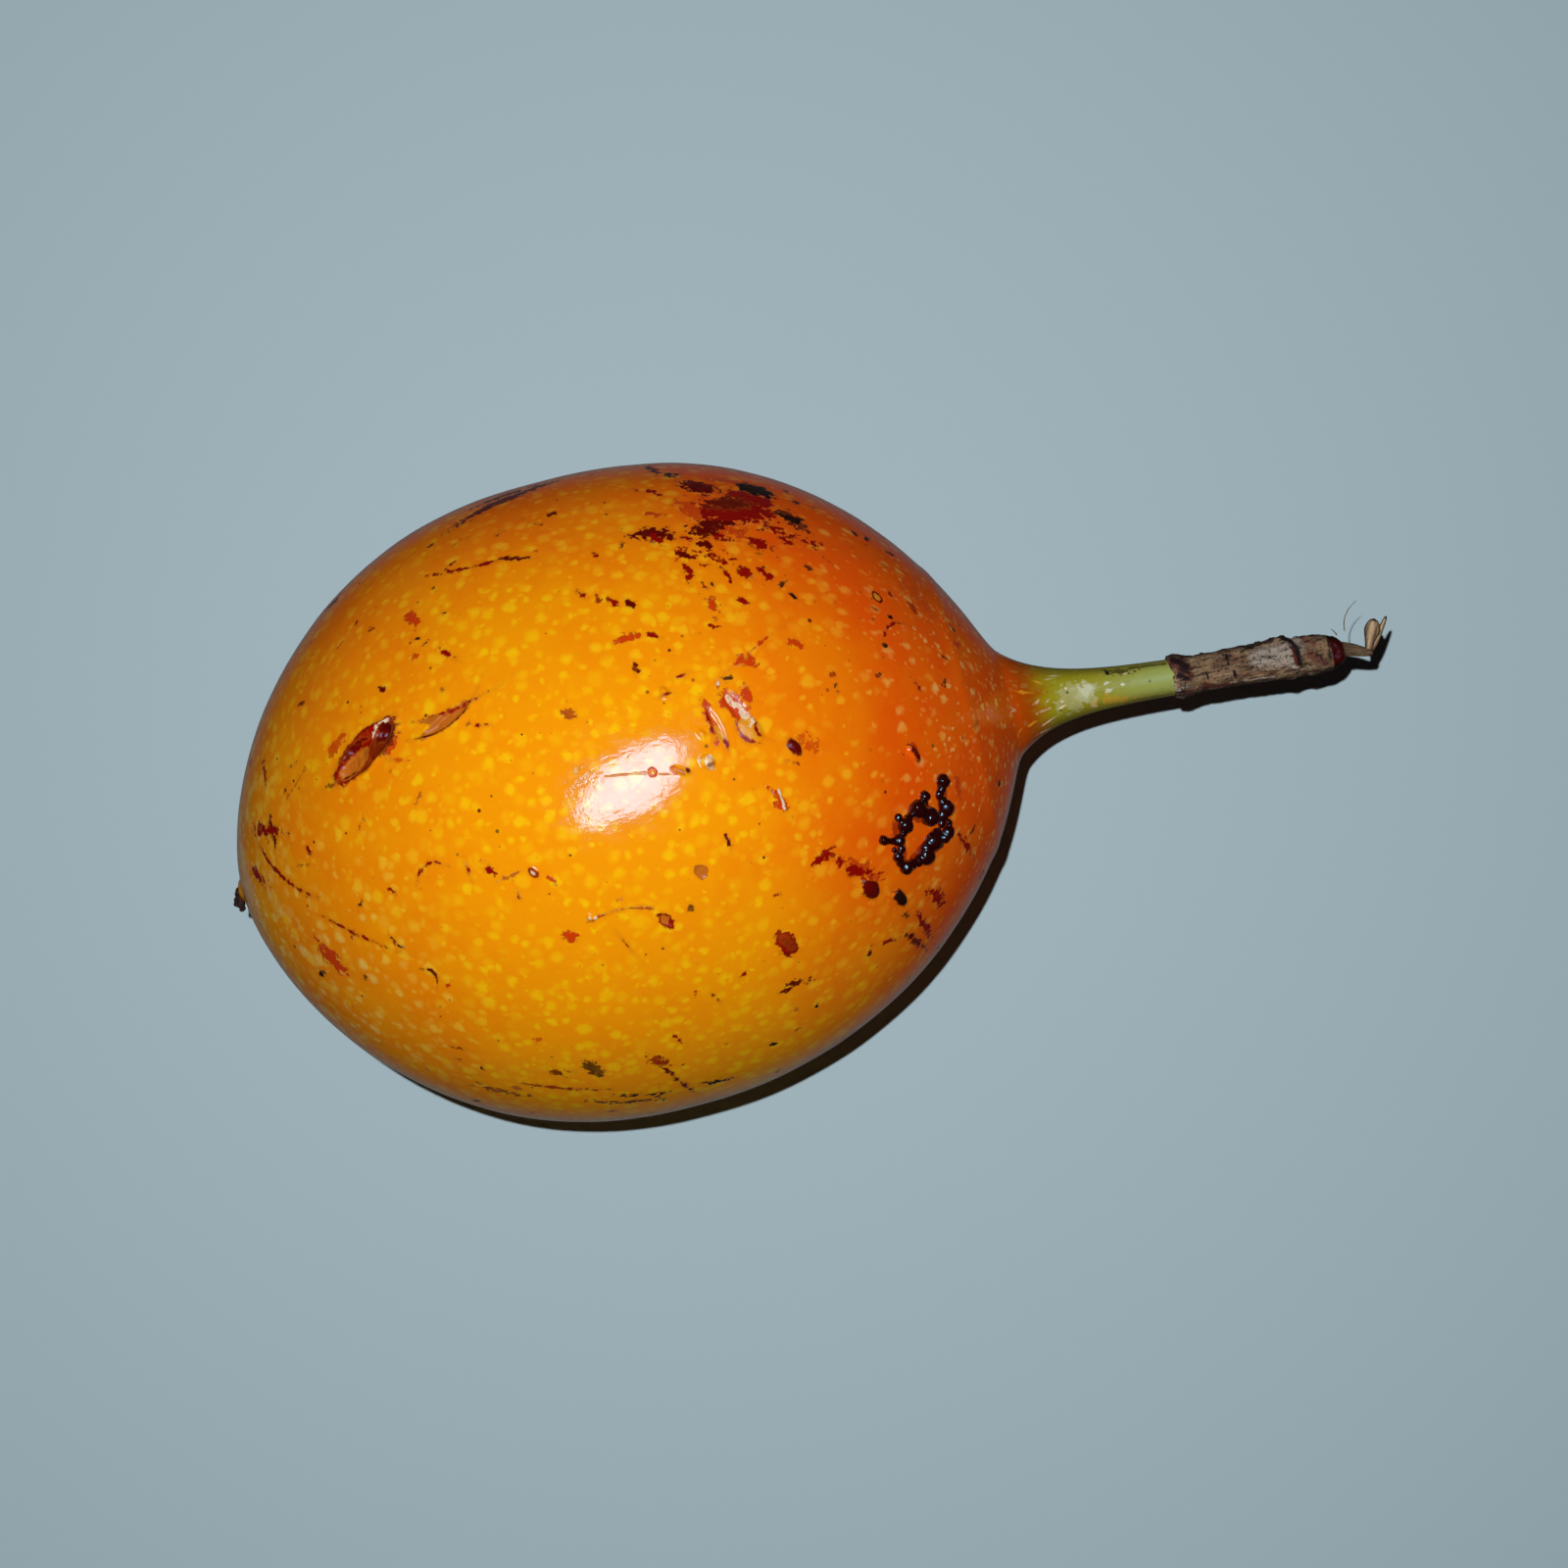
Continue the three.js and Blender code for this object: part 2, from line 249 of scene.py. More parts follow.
@dataclass(frozen=True)
class PhotoView:
    """The photograph's camera: straight above, with the fruit's axis turned in its frame."""

    frame_pixels: float = 1600.0
    frame_width: float = 146.7
    target: tuple[float, float, float] = (15.93, -2.83, 29.4)
    distance: float = 290.0
    turn: float = 14.3
    sensor: float = 36.0
    search: Pixel = (0.88, 1.1)
    search_steps: int = 900

    @property
    def right(self) -> Array:
        """The image's right as a direction."""
        return np.array([math.cos(math.radians(self.turn)), -math.sin(math.radians(self.turn)), 0.0])

    @property
    def up(self) -> Array:
        """The image's up as a direction."""
        return np.array([math.sin(math.radians(self.turn)), math.cos(math.radians(self.turn)), 0.0])

    @property
    def eye(self) -> Array:
        """Where the camera stands."""
        return np.array(self.target) + np.array([0.0, 0.0, self.distance])

    def aim(self, pixel: Pixel) -> Array:
        """The way from the eye to what a pixel shows at the target's height."""
        middle, scale = self.frame_pixels / 2, self.frame_width / self.frame_pixels
        across, down = (pixel[0] - middle) * scale, (pixel[1] - middle) * scale
        return np.array(self.target) + self.right * across - self.up * down - self.eye

    def on_rind(self, shape: FruitShape, pixel: Pixel) -> Array:
        """Finds the place of the rind that a pixel shows.

        Args:
            shape: The fruit's form.
            pixel: Place in the photograph, from its upper left corner.

        Returns:
            The x and the angle of that place, or of the rim's nearest one where the ray misses.
        """
        aim = self.aim(pixel)
        shares = np.linspace(*self.search, self.search_steps)
        depths = shape.depth_inside(self.eye + aim * shares[:, None])
        inside = np.nonzero(depths > 0.0)[0]
        share = shares[inside[0]] if len(inside) else shares[int(np.argmax(depths))]
        place = self.eye + aim * share
        offset = place - shape.middle(place[0])
        return np.array([place[0], math.degrees(math.atan2(offset[1], offset[2]))])

    def on_level(self, pixel: Pixel, height: float) -> Array:
        """Finds the place at a height above the floor that a pixel shows."""
        aim = self.aim(pixel)
        return self.eye + aim * (height - self.eye[2]) / aim[2]

    def add_camera(self) -> bpy.types.Object:
        """Sets the photograph's camera up in the scene."""
        data = bpy.data.cameras.new("photo_camera")
        data.sensor_width = self.sensor
        data.lens = self.sensor * self.distance / self.frame_width
        data.clip_start = 0.01
        data.clip_end = 20.0
        camera = bpy.data.objects.new("photo_camera", data)
        camera.location = (self.eye * MM).tolist()
        camera.rotation_euler = (0.0, 0.0, math.radians(-self.turn))
        bpy.context.scene.collection.objects.link(camera)
        bpy.context.scene.camera = camera
        return camera


class NodeSheet:
    """Writes the nodes of a material or a geometry tree, with a short call for each."""

    def __init__(self, tree: bpy.types.NodeTree) -> None:
        """Starts on a tree, which is left as it is."""
        self.tree = tree

    def node(self, kind: str, inputs: dict[Any, Any] | None = None, **settings: Any) -> bpy.types.Node:
        """Adds a node.

        Args:
            kind: The node's type in Blender.
            inputs: What goes into each socket, by name or number: a socket to link, or a value.
            settings: The node's own settings.

        Returns:
            The new node.
        """
        made = self.tree.nodes.new(kind)
        for setting, value in settings.items():
            setattr(made, setting, value)
        for key, value in (inputs or {}).items():
            if isinstance(value, bpy.types.NodeSocket):
                self.tree.links.new(value, made.inputs[key])
            else:
                made.inputs[key].default_value = value
        return made


class Shader(NodeSheet):
    """Writes a procedural material; each method returns the socket that it makes."""

    def __init__(self, name: str) -> None:
        """Makes an empty material with an output."""
        self.material = bpy.data.materials.new(name)
        self.material.use_nodes = True
        super().__init__(self.material.node_tree)
        self.tree.nodes.clear()
        self.output = self.tree.nodes.new("ShaderNodeOutputMaterial")

    def millimetres(self) -> Socket:
        """The point of the piece in millimetres."""
        place = self.node("ShaderNodeTexCoord").outputs["Object"]
        scaled = self.node("ShaderNodeVectorMath", {0: place, "Scale": 1.0 / MM}, operation="SCALE")
        return scaled.outputs[0]

    def attribute(self, name: str, output: str = "Fac") -> Socket:
        """A value that the mesh stores under a name."""
        return self.node("ShaderNodeAttribute", attribute_name=name).outputs[output]

    def split(self, vector: Socket) -> tuple[Socket, Socket, Socket]:
        """The three parts of a vector."""
        parts = self.node("ShaderNodeSeparateXYZ", {0: vector}).outputs
        return parts[0], parts[1], parts[2]

    def math(self, operation: str, first: Any, second: Any = 0.0, clamp: bool = False) -> Socket:
        """One sum on one or two numbers."""
        return self.node(
            "ShaderNodeMath", {0: first, 1: second}, operation=operation, use_clamp=clamp
        ).outputs[0]

    def total(self, *parts: tuple[Any, float]) -> Socket:
        """The sum of some numbers, each times its own share."""
        sums = [value if share == 1.0 else self.math("MULTIPLY", value, share) for value, share in parts]
        while len(sums) > 1:
            sums[:2] = [self.math("ADD", *sums[:2])]
        return sums[0]

    def stretch(self, vector: Socket, scale: tuple[float, float, float]) -> Socket:
        """A vector with each part multiplied by its own number."""
        return self.node("ShaderNodeVectorMath", {0: vector, 1: scale}, operation="MULTIPLY").outputs[0]

    def rise(self, value: Any, low: Any, high: Any, top: Any = 1.0, bottom: Any = 0.0) -> Socket:
        """Turns a number smoothly from bottom at low to top at high."""
        inputs = {0: value, 1: low, 2: high, 3: bottom, 4: top}
        return self.node("ShaderNodeMapRange", inputs, interpolation_type="SMOOTHSTEP").outputs[0]

    @staticmethod
    def opaque(colour: Any) -> Any:
        """A colour with full alpha, as its socket takes it; a socket to link stays as it is."""
        return colour if isinstance(colour, bpy.types.NodeSocket) else (*colour, 1.0)

    def mix(self, share: Any, first: Any, second: Any) -> Socket:
        """A colour between two, by share."""
        inputs = {0: share, 6: self.opaque(first), 7: self.opaque(second)}
        return self.node("ShaderNodeMix", inputs, data_type="RGBA").outputs[2]

    def noise(self, place: Socket, size: float, detail: float = 2.0, roughness: float = 0.5) -> Socket:
        """Noise from 0 to 1 with features of the given size in millimetres."""
        inputs = {"Vector": place, "Scale": 1.0 / size, "Detail": detail, "Roughness": roughness}
        return self.node("ShaderNodeTexNoise", inputs).outputs[0]

    def cells(self, place: Socket, size: float, randomness: float = 1.0) -> tuple[Socket, Socket]:
        """The distance to the nearest cell's middle in millimetres, and a random colour for each cell."""
        inputs = {"Vector": place, "Scale": 1.0 / size, "Randomness": randomness}
        made = self.node("ShaderNodeTexVoronoi", inputs)
        return self.math("MULTIPLY", made.outputs["Distance"], size), made.outputs["Color"]

    def ramp(self, value: Socket, stops: Sequence[tuple[float, Colour]]) -> Socket:
        """A colour from a row of stops."""
        made = self.node("ShaderNodeValToRGB", {0: value})
        elements = made.color_ramp.elements
        while len(elements) < len(stops):
            elements.new(0.5)
        for element, (place, colour) in zip(elements, stops):
            element.position = place
            element.color = (*colour, 1.0)
        return made.outputs[0]

    def bump(self, height: Socket, strength: float = 1.0, normal: Socket | None = None) -> Socket:
        """A normal from a height in millimetres."""
        inputs: dict[Any, Any] = {"Height": height, "Strength": strength, "Distance": MM}
        if normal is not None:
            inputs["Normal"] = normal
        return self.node("ShaderNodeBump", inputs).outputs[0]

    def surface(self, **inputs: Any) -> bpy.types.Material:
        """Ends the material in one Principled shader; underscores in the names stand for spaces."""
        named = {key.replace("_", " "): value for key, value in inputs.items()}
        shader = self.node("ShaderNodeBsdfPrincipled", named)
        self.tree.links.new(shader.outputs[0], self.output.inputs["Surface"])
        return self.material


class Tone(float, Enum):
    """The colours of the marks on the rind, as places along one ramp."""

    CREAM = 0.0
    WHITISH = 0.07
    AMBER = 0.14
    TAN = 0.26
    ORANGE_RED = 0.42
    RED_BROWN = 0.6
    MAROON = 0.78
    OLIVE = 0.9
    BLACK = 1.0


SEEDED_TONES = [Tone.ORANGE_RED, Tone.RED_BROWN, Tone.MAROON, Tone.BLACK, Tone.TAN]


class Layer(Enum):
    """The three layers of marks, each painted over the one before."""

    UNDER = "under"
    OVER = "over"
    TOP = "top"


@dataclass(frozen=True)
class Mark:
    """A stain, scar or scratch: an ellipse between two ends, bent and ragged as it is in life."""

    start: Pixel
    end: Pixel
    width: float
    tone: Tone
    ragged: float = 0.25
    strength: float = 0.95
    layer: Layer = Layer.UNDER
    bend: float = 0.0
    ring: bool = False


class Form(Enum):
    """What a spot of relief does to the rind."""

    WOUND = "wound"
    DROP = "drop"
    PIT = "pit"


@dataclass(frozen=True)
class Relief:
    """A wound, drop or pit that the rind's own surface has, between two ends."""

    start: Pixel
    end: Pixel
    width: float
    height: float
    form: Form


@dataclass(frozen=True)
class Patch:
    """The plane that a mark or a spot of relief has on the rind, with its own two directions."""

    centre: Array
    along: Array
    across: Array
    half_length: float
    half_width: float
    bend: float = 0.0

    @classmethod
    def between(cls, shape: FruitShape, ends: Array, width: float, bend: float = 0.0) -> "Patch":
        """Lays a patch between two places of the rind, each an x and an angle."""
        middle = ends.mean(0)
        corners = shape.skin(ends[:, 0], ends[:, 1])
        centre = shape.skin(middle[:1], middle[1:])[0]
        out = shape.outward(middle[:1], middle[1:])[0]
        run = corners[1] - corners[0]
        length = float(np.linalg.norm(run))
        along = run - out * float(run @ out)
        along /= np.linalg.norm(along)
        return cls(centre, along, np.cross(out, along), max(length, width) / 2.0, width / 2.0, bend)

    def plan(self, points: Array) -> tuple[Array, Array]:
        """Where each point lies along and across the patch, in its half sizes."""
        offset = points - self.centre
        along = offset @ self.along / self.half_length
        across = (offset @ self.across - self.bend * (1.0 - along**2)) / self.half_width
        return along, across

    def distance(self, points: Array) -> Array:
        """How far each point is from the patch's edge, negative inside."""
        along, across = self.plan(points)
        share = np.hypot(along, across)
        past = np.clip(np.abs(along) - 1.0, 0.0, None) * self.half_length
        beside = np.clip(np.abs(across) - 1.0, 0.0, None) * self.half_width
        away = np.linalg.norm(points - self.centre, axis=-1) - self.half_length
        inside = (np.minimum(share, 1.0) - 1.0) * self.half_width
        return np.maximum(np.hypot(past, beside) + inside, away)


WOUND_MARKS = (
    Mark((343, 799), (403, 735), 3.1, Tone.RED_BROWN, 0.2, 1.0, bend=0.25),
    Mark((372, 776), (404, 740), 2.2, Tone.MAROON, 0.3, 0.6, Layer.OVER),
    Mark((335, 774), (350, 752), 1.0, Tone.ORANGE_RED, 0.4, 0.7),
    Mark((395, 770), (404, 750), 0.9, Tone.ORANGE_RED, 0.3, 0.8),
    Mark((346, 795), (374, 761), 1.6, Tone.TAN, 0.12, 1.0, Layer.OVER, -0.1),
    Mark((348, 782), (372, 752), 0.5, Tone.MAROON, 0.2, 0.8, Layer.OVER, 0.2),
    Mark((380, 755), (398, 738), 1.25, Tone.MAROON, 0.12, 1.0, Layer.TOP),
    Mark((377, 751), (385, 739), 0.16, Tone.CREAM, 0.08, 0.9, Layer.TOP),
    Mark((384, 739), (396, 735), 0.2, Tone.CREAM, 0.12, 0.8, Layer.TOP),
    Mark((350, 795), (362, 786), 0.16, Tone.MAROON, 0.08, 1.0, Layer.TOP),
    Mark((431, 753), (480, 717), 1.15, Tone.TAN, 0.15, 0.9, bend=0.15),
    Mark((432, 737), (452, 733), 0.9, Tone.TAN, 0.2, 0.85),
    Mark((437, 733), (476, 718), 0.2, Tone.RED_BROWN, 0.15, 0.9, Layer.OVER, -0.1),
    Mark((431, 753), (462, 737), 0.2, Tone.MAROON, 0.08, 1.0, Layer.TOP, -0.2),
    Mark((459, 740), (480, 717), 0.22, Tone.MAROON, 0.08, 1.0, Layer.TOP, -0.15),
    Mark((735, 702), (764, 739), 1.5, Tone.ORANGE_RED, 0.4, 0.85),
    Mark((758, 703), (768, 718), 0.9, Tone.ORANGE_RED, 0.3, 0.95),
    Mark((756, 733), (774, 753), 1.6, Tone.AMBER, 0.1, 0.75, Layer.OVER),
    Mark((752, 741), (771, 758), 0.3, Tone.RED_BROWN, 0.12, 0.9, Layer.TOP, -0.35),
    Mark((770, 739), (777, 752), 0.3, Tone.RED_BROWN, 0.12, 0.9, Layer.TOP, -0.2),
    Mark((743, 709), (768, 738), 0.5, Tone.CREAM, 0.35, 0.7, Layer.TOP),
    Mark((716, 714), (725, 724), 0.9, Tone.ORANGE_RED, 0.35, 0.95),
    Mark((719, 722), (731, 753), 0.65, Tone.ORANGE_RED, 0.25, 0.85, bend=0.1),
    Mark((729, 741), (741, 759), 0.5, Tone.AMBER, 0.2, 0.8, Layer.OVER),
    Mark((721, 728), (728, 750), 0.2, Tone.RED_BROWN, 0.12, 0.9, Layer.TOP),
    Mark((739, 756), (744, 763), 0.5, Tone.RED_BROWN, 0.15, 1.0, Layer.TOP),
    Mark((788, 805), (803, 829), 0.8, Tone.ORANGE_RED, 0.3, 0.9),
    Mark((795, 808), (801, 827), 0.25, Tone.CREAM, 0.12, 0.9, Layer.OVER),
)

PATCH_MARKS = (
    Mark((704, 521), (792, 523), 4.0, Tone.RED_BROWN, 0.9, 1.0),
    Mark((742, 506), (790, 512), 3.4, Tone.RED_BROWN, 0.7, 0.95),
    Mark((722, 514), (764, 512), 2.2, Tone.MAROON, 0.5, 0.7, Layer.OVER),
    Mark((752, 494), (790, 506), 2.7, Tone.BLACK, 0.5, 0.95, Layer.OVER),
    Mark((694, 491), (732, 502), 2.3, Tone.MAROON, 0.6, 0.9),
    Mark((706, 545), (750, 528), 2.4, Tone.MAROON, 0.9, 0.9),
    Mark((795, 524), (820, 534), 1.1, Tone.BLACK, 0.4, 0.85, Layer.OVER),
    Mark((693, 560), (745, 572), 0.4, Tone.RED_BROWN, 1.5, 0.9),
    Mark((778, 536), (824, 553), 0.5, Tone.RED_BROWN, 1.3, 0.9),
    Mark((764, 550), (786, 559), 1.3, Tone.RED_BROWN, 0.6, 0.95),
    Mark((796, 547), (808, 555), 0.9, Tone.RED_BROWN, 0.5, 0.9),
    Mark((718, 541), (746, 549), 1.0, Tone.RED_BROWN, 0.7, 0.9),
    Mark((645, 544), (690, 547), 1.5, Tone.MAROON, 0.5, 0.95, bend=0.3),
    Mark((660, 541), (676, 552), 1.3, Tone.RED_BROWN, 0.4, 0.95),
    Mark((694, 548), (710, 548), 0.5, Tone.RED_BROWN, 0.3),
    Mark((711, 553), (727, 556), 1.0, Tone.MAROON, 0.4),
    Mark((794, 519), (823, 540), 1.9, Tone.MAROON, 0.7, 0.85),
    Mark((769, 549), (781, 555), 0.7, Tone.RED_BROWN, 0.3),
    Mark((796, 544), (806, 548), 0.5, Tone.MAROON, 0.25),
    Mark((798, 552), (805, 555), 0.4, Tone.RED_BROWN, 0.2),
    Mark((808, 511), (816, 514), 0.6, Tone.MAROON, 0.3),
    Mark((799, 500), (806, 503), 0.6, Tone.MAROON, 0.3),
    Mark((675, 481), (692, 486), 0.9, Tone.BLACK, 0.5),
    Mark((658, 476), (672, 482), 0.8, Tone.MAROON, 0.5),
    Mark((692, 562), (705, 567), 0.7, Tone.MAROON, 0.4),
    Mark((700, 576), (704, 590), 0.5, Tone.RED_BROWN, 0.4),
    Mark((755, 578), (766, 589), 1.0, Tone.RED_BROWN, 0.25),
    Mark((775, 580), (789, 592), 0.85, Tone.RED_BROWN, 0.3),
    Mark((737, 579), (745, 590), 0.4, Tone.RED_BROWN, 0.25),
    Mark((661, 499), (671, 503), 0.6, Tone.RED_BROWN, 0.4),
    Mark((660, 522), (672, 525), 0.5, Tone.ORANGE_RED, 0.4),
    Mark((728, 534), (760, 546), 1.6, Tone.ORANGE_RED, 0.9, 0.75),
    Mark((696, 508), (716, 530), 1.6, Tone.ORANGE_RED, 0.9, 0.7),
    Mark((724, 488), (760, 494), 1.2, Tone.ORANGE_RED, 0.8, 0.7),
    Mark((465, 535), (560, 493), 1.6, Tone.MAROON, 0.5, 0.85),
    Mark((490, 515), (540, 497), 0.9, Tone.BLACK, 0.4, 0.8, Layer.OVER),
    Mark((333, 622), (345, 610), 0.9, Tone.BLACK, 0.4),
    Mark((717, 596), (721, 600), 0.35, Tone.RED_BROWN, 0.2),
    Mark((724, 594), (728, 596), 0.3, Tone.BLACK, 0.15),
    Mark((723, 611), (732, 623), 0.75, Tone.ORANGE_RED, 0.3, 1.0),
    Mark((620, 611), (631, 615), 0.5, Tone.RED_BROWN, 0.3),
    Mark((638, 612), (647, 618), 0.55, Tone.MAROON, 0.2),
    Mark((588, 603), (595, 607), 0.35, Tone.RED_BROWN, 0.2),
    Mark((630, 654), (651, 645), 0.75, Tone.ORANGE_RED, 0.4, 0.95),
    Mark((662, 647), (671, 650), 0.35, Tone.RED_BROWN, 0.2),
    Mark((755, 672), (771, 678), 0.9, Tone.ORANGE_RED, 0.4, 1.0),
    Mark((786, 649), (757, 673), 0.2, Tone.ORANGE_RED, 0.15, 0.9, Layer.OVER),
    Mark((752, 610), (762, 615), 0.5, Tone.RED_BROWN, 0.25),
    Mark((806, 605), (812, 611), 0.45, Tone.BLACK, 0.12),
    Mark((806, 655), (819, 661), 0.5, Tone.ORANGE_RED, 0.3),
    Mark((576, 724), (584, 733), 0.8, Tone.RED_BROWN, 0.3, 0.6),
)

SIDE_MARKS = (
    Mark((262, 848), (284, 850), 1.0, Tone.RED_BROWN, 0.5, 0.85),
    Mark((275, 836), (281, 862), 0.7, Tone.MAROON, 0.4, 0.8),
    Mark((258, 888), (270, 900), 0.9, Tone.RED_BROWN, 0.5, 0.85),
    Mark((262, 865), (312, 918), 0.36, Tone.RED_BROWN, 0.15, 0.95, Layer.OVER, -0.5),
    Mark((326, 965), (352, 992), 1.6, Tone.ORANGE_RED, 0.6, 0.95),
    Mark((268, 777), (272, 799), 0.6, Tone.RED_BROWN, 0.3, 0.7),
    Mark((291, 818), (312, 783), 0.25, Tone.TAN, 0.2, 0.7),
    Mark((244, 866), (264, 935), 2.8, Tone.CREAM, 0.8, 0.3),
    Mark((338, 940), (376, 959), 0.2, Tone.RED_BROWN, 0.15, 0.9, Layer.OVER),
    Mark((415, 626), (427, 636), 0.9, Tone.ORANGE_RED, 0.4, 0.95),
    Mark((450, 664), (462, 670), 0.4, Tone.RED_BROWN, 0.2),
    Mark((428, 890), (446, 880), 0.3, Tone.RED_BROWN, 0.2, 0.85, bend=0.3),
    Mark((496, 884), (506, 892), 0.4, Tone.RED_BROWN, 0.3, 0.85),
    Mark((476, 881), (480, 894), 0.25, Tone.RED_BROWN, 0.15, 0.85),
    Mark((511, 898), (528, 890), 0.2, Tone.TAN, 0.2, 0.9),
    Mark((575, 952), (590, 957), 1.0, Tone.ORANGE_RED, 0.3, 0.95),
    Mark((434, 988), (446, 998), 0.35, Tone.MAROON, 0.15, 0.9, bend=0.35),
    Mark((597, 1084), (615, 1098), 1.3, Tone.BLACK, 0.35, 0.68),
    Mark((530, 1106), (600, 1113), 0.3, Tone.RED_BROWN, 0.3, 0.7),
    Mark((640, 1119), (680, 1117), 0.5, Tone.BLACK, 0.5, 0.8),
    Mark((558, 1093), (574, 1098), 0.7, Tone.MAROON, 0.4, 0.7),
    Mark((455, 583), (508, 570), 0.3, Tone.RED_BROWN, 0.3, 0.9, bend=-0.2),
    Mark((505, 570), (537, 568), 0.35, Tone.MAROON, 0.35, 0.85),
    Mark((612, 934), (660, 926), 0.06, Tone.RED_BROWN, 0.15, 0.65, bend=0.3),
    Mark((636, 959), (641, 965), 0.1, Tone.RED_BROWN, 0.08, 0.8),
    Mark((672, 931), (685, 944), 1.0, Tone.TAN, 0.2, 0.95),
    Mark((673, 932), (684, 943), 0.9, Tone.RED_BROWN, 0.2, 0.9, Layer.OVER, ring=True),
    Mark((793, 952), (811, 973), 1.6, Tone.RED_BROWN, 0.3, 1.0),
    Mark((797, 956), (806, 966), 0.7, Tone.MAROON, 0.3, 0.35, Layer.OVER),
    Mark((833, 879), (848, 867), 0.7, Tone.RED_BROWN, 0.4, 0.95),
    Mark((842, 868), (853, 873), 0.4, Tone.RED_BROWN, 0.2, 0.9),
    Mark((857, 877), (897, 896), 1.3, Tone.ORANGE_RED, 0.6, 0.85),
    Mark((858, 879), (888, 891), 0.8, Tone.RED_BROWN, 0.4, 0.95, Layer.OVER, -0.2),
    Mark((949, 908), (963, 922), 1.0, Tone.RED_BROWN, 0.4, 0.9),
    Mark((936, 932), (950, 954), 0.7, Tone.RED_BROWN, 0.3, 0.9),
    Mark((980, 853), (990, 868), 0.6, Tone.RED_BROWN, 0.3, 0.8),
    Mark((928, 954), (942, 966), 0.5, Tone.MAROON, 0.3, 0.85),
    Mark((901, 963), (914, 958), 0.4, Tone.RED_BROWN, 0.3, 0.85),
    Mark((806, 1003), (823, 1001), 0.6, Tone.MAROON, 0.4, 0.9),
    Mark((796, 1014), (806, 1009), 0.5, Tone.MAROON, 0.3, 0.85),
    Mark((664, 1080), (681, 1087), 1.0, Tone.RED_BROWN, 0.5, 0.75),
    Mark((672, 1085), (704, 1112), 0.3, Tone.MAROON, 0.3, 0.85),
    Mark((721, 1107), (748, 1102), 0.95, Tone.BLACK, 0.45, 0.95),
    Mark((615, 1126), (668, 1124), 0.6, Tone.BLACK, 0.5, 0.7),
    Mark((492, 1110), (530, 1118), 0.7, Tone.MAROON, 0.6, 0.6),
    Mark((891, 604), (899, 614), 0.85, Tone.MAROON, 0.08, 1.0, Layer.TOP, ring=True),
    Mark((892, 606), (898, 612), 0.5, Tone.AMBER, 0.06, 0.9, Layer.OVER),
    Mark((905, 628), (911, 632), 0.45, Tone.BLACK, 0.15),
    Mark((907, 604), (910, 609), 0.5, Tone.RED_BROWN, 0.2, 0.8),
    Mark((929, 612), (934, 626), 0.9, Tone.RED_BROWN, 0.5, 0.6),
    Mark((899, 657), (906, 660), 0.45, Tone.BLACK, 0.12),
    Mark((868, 541), (875, 547), 0.5, Tone.BLACK, 0.2),
    Mark((903, 562), (911, 566), 0.45, Tone.MAROON, 0.2),
    Mark((904, 645), (920, 636), 0.2, Tone.RED_BROWN, 0.2, 0.9, Layer.OVER, 0.3),
    Mark((922, 600), (950, 625), 2.4, Tone.ORANGE_RED, 1.2, 0.35),
    Mark((959, 792), (964, 848), 1.3, Tone.RED_BROWN, 0.15, 0.6),
    Mark((927, 824), (952, 832), 1.9, Tone.RED_BROWN, 0.15, 0.65),
    Mark((914, 836), (922, 884), 1.3, Tone.RED_BROWN, 0.15, 0.6),
    Mark((926, 882), (968, 848), 1.9, Tone.RED_BROWN, 0.15, 0.65),
    Mark((942, 806), (943, 822), 0.9, Tone.ORANGE_RED, 0.15, 0.8),
    Mark((974, 790), (980, 812), 0.7, Tone.ORANGE_RED, 0.2, 0.7),
    Mark((928, 760), (937, 775), 0.75, Tone.MAROON, 0.15, 0.9),
    Mark((930, 757), (936, 764), 0.5, Tone.ORANGE_RED, 0.2, 0.9, Layer.OVER),
    Mark((804, 756), (817, 769), 1.05, Tone.MAROON, 0.12, 0.95),
    Mark((815, 755), (833, 762), 1.0, Tone.ORANGE_RED, 0.6, 0.6),
    Mark((880, 897), (895, 913), 1.5, Tone.MAROON, 0.12, 1.0),
    Mark((912, 908), (923, 922), 1.0, Tone.BLACK, 0.12, 1.0),
    Mark((710, 882), (721, 895), 1.1, Tone.TAN, 0.15, 0.85),
    Mark((717, 773), (727, 783), 0.8, Tone.CREAM, 0.3, 0.6, Layer.OVER),
    Mark((722, 782), (729, 778), 0.3, Tone.MAROON, 0.1, 0.6, Layer.TOP),
    Mark((674, 711), (682, 708), 0.3, Tone.RED_BROWN, 0.1, 0.8, Layer.TOP),
    Mark((692, 691), (699, 688), 0.25, Tone.RED_BROWN, 0.1, 0.8, Layer.TOP),
    # Painted glints: the tiny cream dots on two small drops.
    Mark((542, 888), (547, 892), 0.35, Tone.CREAM, 0.05, 0.9, Layer.OVER),
    Mark((541, 887), (548, 893), 0.45, Tone.RED_BROWN, 0.05, 0.8, Layer.TOP, ring=True),
    Mark((600, 935), (603, 936), 0.25, Tone.CREAM, 0.05, 0.9, Layer.OVER),
    Mark((606, 935), (609, 936), 0.25, Tone.CREAM, 0.05, 0.9, Layer.OVER),
)

